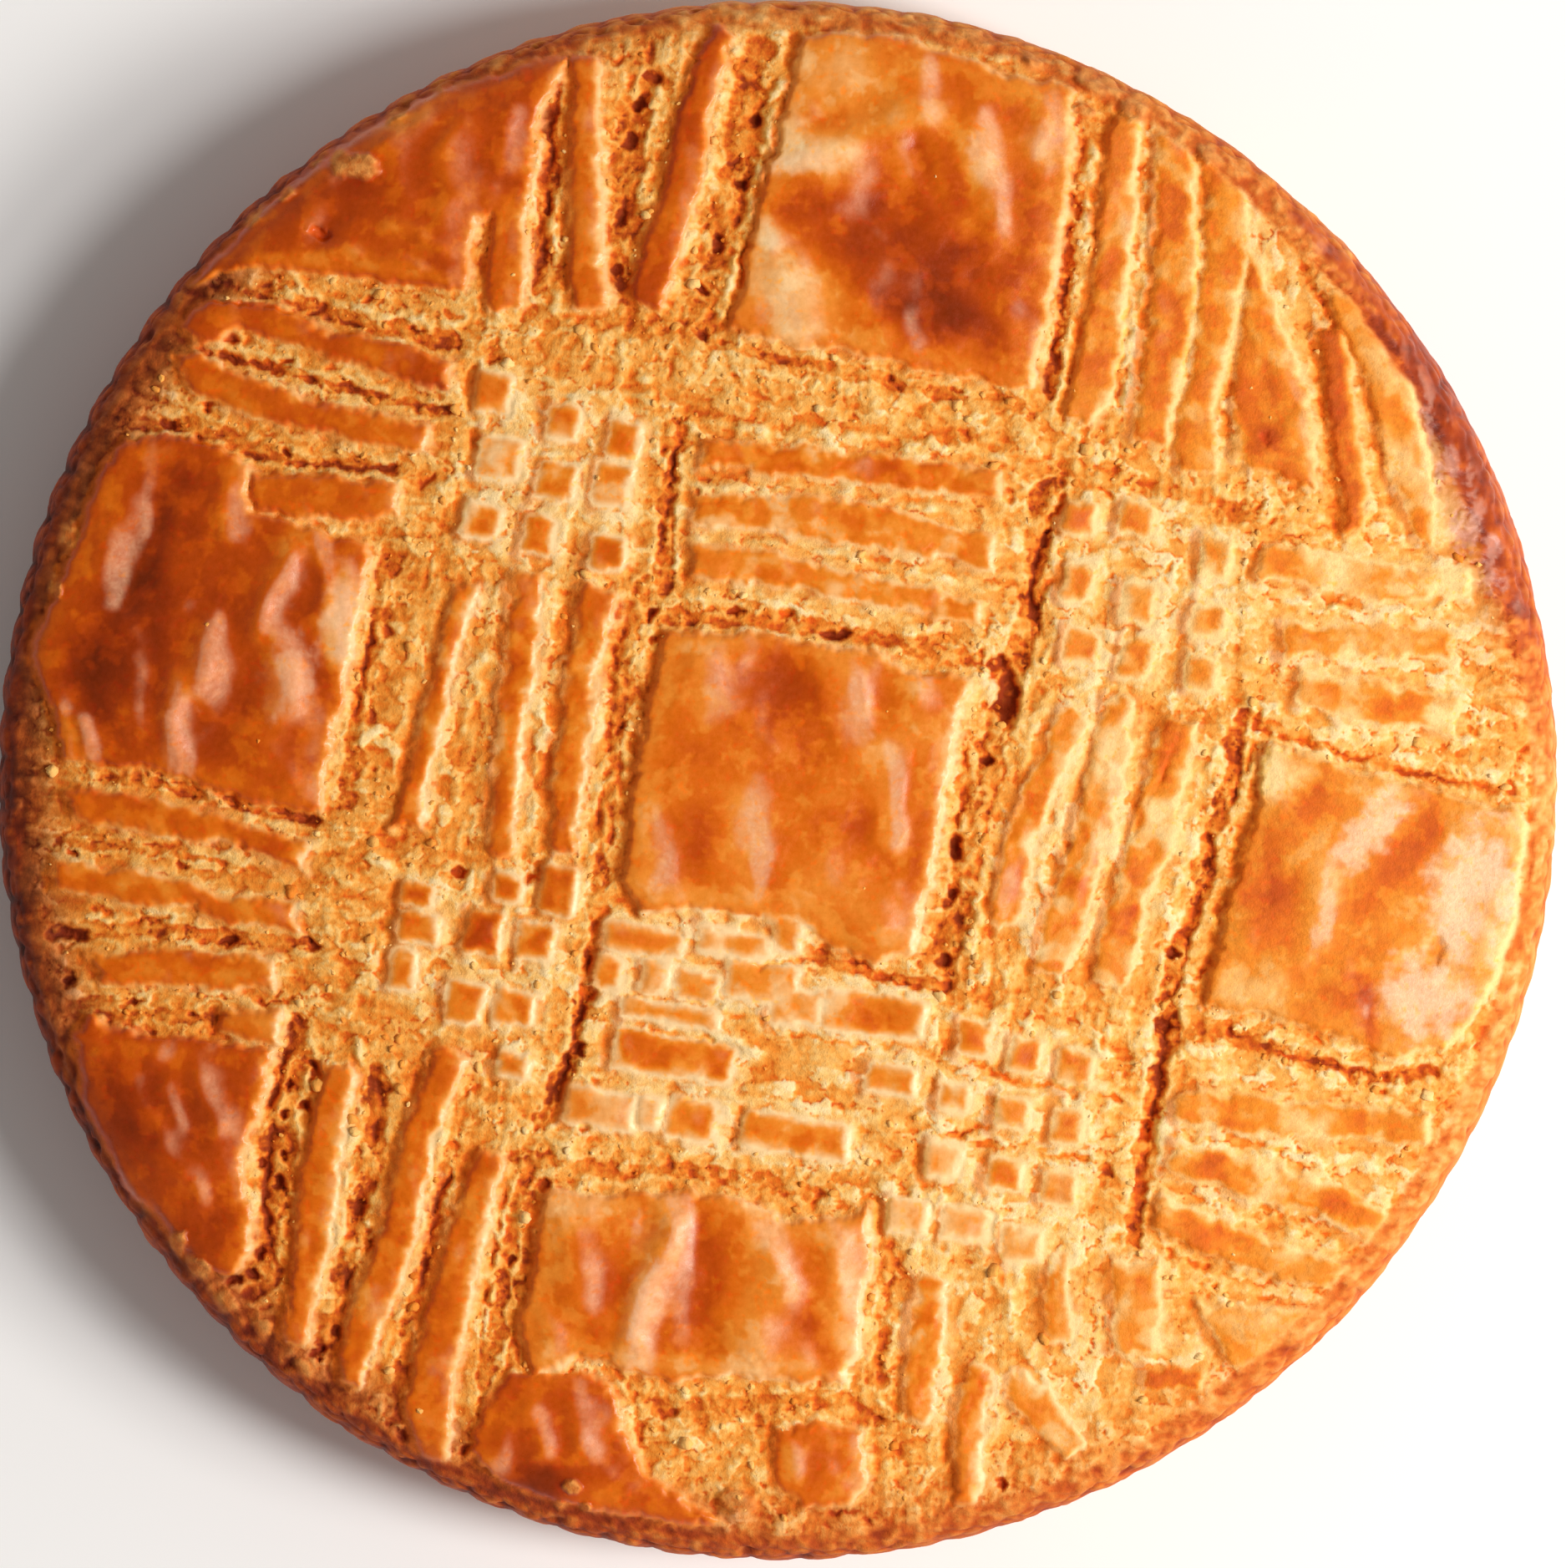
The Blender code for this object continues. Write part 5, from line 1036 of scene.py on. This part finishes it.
# ---------------------------------------------------------------- materials
def crust_material(name):
    """Baked surface: its tone and gloss come from the mesh, its grain from noise."""
    mat = bpy.data.materials.new(name)
    mat.use_nodes = True
    nodes, links = mat.node_tree.nodes, mat.node_tree.links
    shader = nodes["Principled BSDF"]
    shader.inputs["Specular IOR Level"].default_value = 0.28

    def node(kind, **values):
        made = nodes.new(kind)
        for key, value in values.items():
            if key in made.inputs.keys():
                made.inputs[key].default_value = value
            else:
                setattr(made, key, value)
        return made

    place = node("ShaderNodeTexCoord")
    tone_in = node("ShaderNodeAttribute", attribute_name="tone")
    shine_in = node("ShaderNodeAttribute", attribute_name="shine")

    grain = node("ShaderNodeTexNoise", Scale=1500.0, Detail=4.0, Roughness=0.6)
    links.new(place.outputs["Object"], grain.inputs["Vector"])
    speck = node("ShaderNodeTexNoise", Scale=5200.0, Detail=2.0, Roughness=0.5)
    links.new(place.outputs["Object"], speck.inputs["Vector"])

    # Crumb varies more than skin.
    spread = node("ShaderNodeMapRange")
    spread.inputs["To Min"].default_value = 0.84
    spread.inputs["To Max"].default_value = 1.12
    spread.inputs["From Min"].default_value = 0.25
    spread.inputs["From Max"].default_value = 0.75
    links.new(grain.outputs["Fac"], spread.inputs["Value"])
    calm = node("ShaderNodeMapRange")
    calm.inputs["To Min"].default_value = 0.92
    calm.inputs["To Max"].default_value = 1.08
    calm.inputs["From Min"].default_value = 0.25
    calm.inputs["From Max"].default_value = 0.75
    links.new(grain.outputs["Fac"], calm.inputs["Value"])
    pick_spread = node("ShaderNodeMix", data_type="FLOAT")
    links.new(shine_in.outputs["Fac"], pick_spread.inputs[0])
    links.new(spread.outputs["Result"], pick_spread.inputs[2])
    links.new(calm.outputs["Result"], pick_spread.inputs[3])
    scaled = node("ShaderNodeVectorMath", operation="SCALE")
    links.new(tone_in.outputs["Color"], scaled.inputs[0])
    links.new(pick_spread.outputs[0], scaled.inputs["Scale"])
    links.new(scaled.outputs["Vector"], shader.inputs["Base Color"])

    # Roughness: dull crumb, satin glaze with duller flecks.
    dull = node("ShaderNodeMapRange")
    dull.inputs["To Min"].default_value = 0.24
    dull.inputs["To Max"].default_value = 0.40
    dull.inputs["From Min"].default_value = 0.3
    dull.inputs["From Max"].default_value = 0.7
    links.new(grain.outputs["Fac"], dull.inputs["Value"])
    rough_mix = node("ShaderNodeMix", data_type="FLOAT")
    rough_mix.inputs[2].default_value = 0.82
    links.new(shine_in.outputs["Fac"], rough_mix.inputs[0])
    links.new(dull.outputs["Result"], rough_mix.inputs[3])
    links.new(rough_mix.outputs[0], shader.inputs["Roughness"])

    # Bump: fine crumb, and a faint skin grain.
    depth = node("ShaderNodeMix", data_type="FLOAT")
    depth.inputs[2].default_value = 1.0
    depth.inputs[3].default_value = 0.16
    links.new(shine_in.outputs["Fac"], depth.inputs[0])
    high = node("ShaderNodeMath", operation="ADD")
    links.new(grain.outputs["Fac"], high.inputs[0])
    half = node("ShaderNodeMath", operation="MULTIPLY")
    half.inputs[1].default_value = 0.45
    links.new(speck.outputs["Fac"], half.inputs[0])
    links.new(half.outputs[0], high.inputs[1])
    shaped = node("ShaderNodeMath", operation="MULTIPLY")
    links.new(high.outputs[0], shaped.inputs[0])
    links.new(depth.outputs[0], shaped.inputs[1])
    bump = node("ShaderNodeBump", Strength=0.8, Distance=0.00018)
    links.new(shaped.outputs[0], bump.inputs["Height"])
    links.new(bump.outputs["Normal"], shader.inputs["Normal"])
    return mat


crust = crust_material("baked_crust")


def make_piece(name, tris, uv):
    """One object from some of the surface's triangles; uv has a place for each corner."""
    used_points, local = np.unique(tris, return_inverse=True)
    mesh = bpy.data.meshes.new(name)
    mesh.vertices.add(len(used_points))
    mesh.vertices.foreach_set("co", points[used_points].astype(np.float32).ravel())
    mesh.loops.add(len(tris) * 3)
    mesh.loops.foreach_set("vertex_index", local.astype(np.int32).ravel())
    mesh.polygons.add(len(tris))
    mesh.polygons.foreach_set("loop_start", np.arange(0, len(tris) * 3, 3, dtype=np.int32))
    mesh.polygons.foreach_set("loop_total", np.full(len(tris), 3, dtype=np.int32))
    mesh.polygons.foreach_set("use_smooth", np.ones(len(tris), bool))
    mesh.update()
    layer = mesh.uv_layers.new(name="OFBake")
    layer.data.foreach_set("uv", uv.astype(np.float32).reshape(-1))
    tone_layer = mesh.attributes.new("tone", "FLOAT_COLOR", "POINT")
    rgba = np.ones((len(used_points), 4), np.float32)
    rgba[:, :3] = np.clip(tones[used_points], 0, 1)
    tone_layer.data.foreach_set("color", rgba.ravel())
    shine_layer = mesh.attributes.new("shine", "FLOAT", "POINT")
    shine_layer.data.foreach_set("value", shines[used_points].astype(np.float32))
    mesh.normals_split_custom_set_from_vertices(normals[used_points].astype(np.float32))
    mesh.materials.append(crust)
    made = bpy.data.objects.new(name, mesh)
    bpy.context.scene.collection.objects.link(made)
    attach(made, "root")
    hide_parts("cake")
    return made


# The top is made in nine pieces whose borders run inside fork grooves.
mid = points[top_tris].mean(1) * 1000
mid_u, mid_v = mid[:, 0] / PX + CENTRE_U, CENTRE_V - mid[:, 1] / PX


def line_at(name, x, swap=False):
    line = np.array(STROKES[name], float)
    return np.interp(x, line[:, 1], line[:, 0]) if swap else np.interp(x, line[:, 0], line[:, 1])


row_id = (mid_v > line_at("across_back", mid_u) + PITCH / 2).astype(int) + (mid_v > line_at("across_front", mid_u) + PITCH / 2)
col_id = (mid_u > line_at("down_left", mid_v, True) + PITCH / 2).astype(int) + (mid_u > line_at("down_right", mid_v, True) - PITCH / 2)
ROW_NAMES, COL_NAMES = ("back", "middle", "front"), ("left", "centre", "right")
for r in range(3):
    for c in range(3):
        mine = top_tris[(row_id == r) & (col_id == c)]
        place_xy = points[mine][..., :2]
        low, high = place_xy.min((0, 1)), place_xy.max((0, 1))
        uv = (place_xy - low) / (high - low).max() * 0.98 + 0.01
        make_piece(f"top_{ROW_NAMES[r]}_{COL_NAMES[c]}", mine, uv)

# The side and the underside go in sectors. The side lies in the lower part of
# the map, the underside in the upper part.
flat_s = np.zeros(len(points))
flat_s[n_top:n_top + n_side] = np.repeat(rows, SIDE_COLUMNS)
for k in range(SECTORS):
    first, last = k * SIDE_COLUMNS // SECTORS, (k + 1) * SIDE_COLUMNS // SECTORS
    columns = np.arange(first, last)
    n_rows = len(rows) - 1
    wall = np.concatenate([
        np.concatenate([
            np.stack([stack[r, columns], stack[r + 1, columns], nxt[r + 1, columns]], -1),
            np.stack([stack[r, columns], nxt[r + 1, columns], nxt[r, columns]], -1),
        ]) for r in range(n_rows)
    ])
    base = np.concatenate([
        np.concatenate([
            np.stack([stack[r, columns], stack[r + 1, columns], nxt[r + 1, columns]], -1),
            np.stack([stack[r, columns], nxt[r + 1, columns], nxt[r, columns]], -1),
        ]) for r in range(n_rows, len(stack) - 1)
    ] + [fan[columns]])
    sewn_turn = np.mod(np.arctan2(points[sewn][..., 1].mean(1), points[sewn][..., 0].mean(1)), 2 * np.pi)
    seam = sewn[(sewn_turn >= first / SIDE_COLUMNS * 2 * np.pi) & (sewn_turn < last / SIDE_COLUMNS * 2 * np.pi)]
    lead = np.concatenate([seam, wall])
    middle_turn = (first + last) / 2 / SIDE_COLUMNS * 2 * np.pi
    turn = np.arctan2(points[lead][..., 1], points[lead][..., 0]) - middle_turn
    turn = np.mod(turn + np.pi, 2 * np.pi) - np.pi
    width = np.pi / SECTORS * 1.02
    radius = np.hypot(points[lead][..., 0], points[lead][..., 1]) * 1000
    s_value = np.where(lead >= n_top, flat_s[lead], (radius - TOP_RADIUS - 0.15))
    uv_wall = np.stack([0.5 + 0.49 * turn / width, 0.40 - 0.365 * (s_value + 0.6) / (walk[-1] + 0.6)], -1)
    away = np.array([math.cos(middle_turn), math.sin(middle_turn)])
    side_way = np.array([-away[1], away[0]])
    flat = points[base][..., :2] * 1000
    uv_base = np.stack([0.5 + 0.555 * (flat @ side_way) / 90, 0.42 + 0.555 * (flat @ away) / 90], -1)
    make_piece(f"side_{k + 1}", np.concatenate([lead, base]), np.concatenate([uv_wall, uv_base]))


# -------------------------------------------------------------- loose crumbs
def ball(levels):
    """Points and triangles of a round pebble with 20 or 80 faces."""
    g = (1 + 5**0.5) / 2
    p = [(-1, g, 0), (1, g, 0), (-1, -g, 0), (1, -g, 0), (0, -1, g), (0, 1, g), (0, -1, -g), (0, 1, -g), (g, 0, -1), (g, 0, 1), (-g, 0, -1), (-g, 0, 1)]
    t = [(0, 11, 5), (0, 5, 1), (0, 1, 7), (0, 7, 10), (0, 10, 11), (1, 5, 9), (5, 11, 4), (11, 10, 2), (10, 7, 6), (7, 1, 8),
         (3, 9, 4), (3, 4, 2), (3, 2, 6), (3, 6, 8), (3, 8, 9), (4, 9, 5), (2, 4, 11), (6, 2, 10), (8, 6, 7), (9, 8, 1)]
    p = [tuple(np.array(q) / np.linalg.norm(q)) for q in p]
    for _ in range(levels):
        cache, fresh = {}, []
        for x, y, z in t:
            m = []
            for e in ((x, y), (y, z), (z, x)):
                key = tuple(sorted(e))
                if key not in cache:
                    q = np.array(p[e[0]]) + np.array(p[e[1]])
                    p.append(tuple(q / np.linalg.norm(q)))
                    cache[key] = len(p) - 1
                m.append(cache[key])
            fresh += [(x, m[0], m[2]), (y, m[1], m[0]), (z, m[2], m[1]), (m[0], m[1], m[2])]
        t = fresh
    return np.array(p), np.array(t)


def scatter(name, count, levels, low, high, seed, wanted):
    """Loose crumbs that lie on the top, each its own uneven pebble, joined as one piece."""
    dice = np.random.default_rng(seed)
    form, faces = ball(levels)
    all_points, all_faces, all_tones = [], [], []
    made = 0
    while made < count:
        x, y = dice.uniform(-84.5, 84.5, 2)
        if math.hypot(x, y) > 84.3:
            continue
        chance = float(on_grid(wanted, np.array([x]), np.array([y]))[0])
        if dice.random() > chance:
            continue
        size = low + (high - low) * dice.random() ** 2.2
        body = form * (1 + dice.uniform(-0.28, 0.28, (len(form), 1)))
        body = body * np.array([1.0, dice.uniform(0.6, 0.95), dice.uniform(0.5, 0.85)]) * size / 2
        turn_z, tilt = dice.uniform(0, 2 * np.pi), dice.uniform(-0.5, 0.5)
        c, s = math.cos(turn_z), math.sin(turn_z)
        ct, st = math.cos(tilt), math.sin(tilt)
        body = body @ np.array([[1, 0, 0], [0, ct, -st], [0, st, ct]]).T @ np.array([[c, -s, 0], [s, c, 0], [0, 0, 1]]).T
        z = float(on_grid(top_z, np.array([x]), np.array([y]))[0]) + 0.02 * size
        body = body + np.array([x, y, z])
        if body[:, 2].max() > 30.95:
            body[:, 2] -= body[:, 2].max() - 30.95
        pale_tone = float(on_grid(tone, np.array([x]), np.array([y]))[0])
        own_tone = ramp(np.array([np.clip(0.25 + 0.55 * pale_tone + dice.uniform(-0.12, 0.24), 0.2, 1.0)]), CRUMB_STOPS)[0]
        all_faces.append(faces + made * len(form))
        all_points.append(body)
        all_tones.append(np.tile(own_tone, (len(form), 1)))
        made += 1
    verts = np.concatenate(all_points) * 0.001
    tris = np.concatenate(all_faces)
    colours = np.concatenate(all_tones)
    mesh = bpy.data.meshes.new(name)
    mesh.from_pydata([], [], [])
    mesh.vertices.add(len(verts))
    mesh.vertices.foreach_set("co", verts.astype(np.float32).ravel())
    mesh.loops.add(len(tris) * 3)
    mesh.loops.foreach_set("vertex_index", tris.astype(np.int32).ravel())
    mesh.polygons.add(len(tris))
    mesh.polygons.foreach_set("loop_start", np.arange(0, len(tris) * 3, 3, dtype=np.int32))
    mesh.polygons.foreach_set("loop_total", np.full(len(tris), 3, dtype=np.int32))
    mesh.polygons.foreach_set("use_smooth", np.full(len(tris), levels > 0))
    mesh.update()
    tone_layer = mesh.attributes.new("tone", "FLOAT_COLOR", "POINT")
    rgba = np.ones((len(verts), 4), np.float32)
    rgba[:, :3] = colours
    tone_layer.data.foreach_set("color", rgba.ravel())
    shine_layer = mesh.attributes.new("shine", "FLOAT", "POINT")
    shine_layer.data.foreach_set("value", np.full(len(verts), 0.05, np.float32))
    mesh.materials.append(crust)
    made_object = bpy.data.objects.new(name, mesh)
    bpy.context.scene.collection.objects.link(made_object)
    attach(made_object, "root")
    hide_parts("cake")
    return made_object


open_crumb = np.clip((1 - cover) * (1 - 0.8 * step(0.2, 0.8, cut)) * (0.35 + 0.65 * step(-0.2, 0.4, wide_cavity)), 0, 1)
open_crumb = np.maximum(open_crumb * (1 - 0.85 * pressed), 0.012)
scatter("crumbs_small", 700, 0, 0.35, 0.9, 5, open_crumb)
scatter("crumbs_large", 150, 1, 0.8, 1.7, 6, open_crumb * (skin < -4))

# ------------------------------------------------------ floor, light, camera
floor_mesh = bpy.data.meshes.new("floor")
side = 3.0
floor_mesh.from_pydata([(-side, -side, 0), (side, -side, 0), (side, side, 0), (-side, side, 0)], [], [(0, 1, 2, 3)])
floor = bpy.data.objects.new("floor", floor_mesh)
bpy.context.scene.collection.objects.link(floor)
floor_material = bpy.data.materials.new("floor")
floor_material.use_nodes = True
floor_shader = floor_material.node_tree.nodes["Principled BSDF"]
floor_shader.inputs["Base Color"].default_value = (0.93, 0.93, 0.93, 1)
floor_shader.inputs["Roughness"].default_value = 0.9
floor_shader.inputs["Specular IOR Level"].default_value = 0.1
floor_mesh.materials.append(floor_material)


def area_light(name, azimuth, elevation, distance, size, power, colour):
    """A soft light that looks at the cake from a direction given in degrees."""
    data = bpy.data.lights.new(name, "AREA")
    data.shape = "DISK"
    data.size = size
    data.energy = power
    data.color = colour
    lamp = bpy.data.objects.new(name, data)
    a, e = math.radians(azimuth), math.radians(elevation)
    lamp.location = (distance * math.cos(e) * math.cos(a), distance * math.cos(e) * math.sin(a), distance * math.sin(e))
    lamp.rotation_euler = (math.pi / 2 - e, 0, a + math.pi / 2)
    bpy.context.scene.collection.objects.link(lamp)
    return lamp


area_light("key", -14, 40, 1.1, 0.34, 7.3, (1.0, 0.97, 0.93))
area_light("fold", -10, 57, 1.1, 0.28, 5.0, (1.0, 0.97, 0.95))

world = bpy.data.worlds.new("studio")
world.use_nodes = True
# The room is bright towards the horizon and the right, dim overhead.
sky, room = world.node_tree.nodes, world.node_tree.links
sky["Background"].inputs["Color"].default_value = (1.0, 0.96, 0.91, 1)
way = sky.new("ShaderNodeTexCoord")
parts = sky.new("ShaderNodeSeparateXYZ")
room.new(way.outputs["Generated"], parts.inputs[0])
fade = sky.new("ShaderNodeMapRange")
fade.inputs["From Min"].default_value = 0.25
fade.inputs["From Max"].default_value = 0.95
fade.inputs["To Min"].default_value = 0.80
fade.inputs["To Max"].default_value = 0.14
room.new(parts.outputs["Z"], fade.inputs["Value"])
turn_away = sky.new("ShaderNodeMapRange")
turn_away.inputs["From Min"].default_value = -0.9
turn_away.inputs["From Max"].default_value = 0.9
turn_away.inputs["To Min"].default_value = 0.40
turn_away.inputs["To Max"].default_value = 1.30
room.new(parts.outputs["X"], turn_away.inputs["Value"])
both = sky.new("ShaderNodeMath")
both.operation = "MULTIPLY"
room.new(fade.outputs["Result"], both.inputs[0])
room.new(turn_away.outputs["Result"], both.inputs[1])
room.new(both.outputs[0], sky["Background"].inputs["Strength"])
bpy.context.scene.world = world
bpy.context.scene.view_settings.view_transform = "Standard"
bpy.context.scene.view_settings.look = "None"

camera_data = bpy.data.cameras.new("camera")
camera_data.sensor_width = 36.0
camera_data.lens = 36.0 * 1200.0 / 180.47
camera_data.clip_end = 20.0
camera = bpy.data.objects.new("camera", camera_data)
camera.location = (0.000635, -0.000442, 1.215)
bpy.context.scene.collection.objects.link(camera)
bpy.context.scene.camera = camera
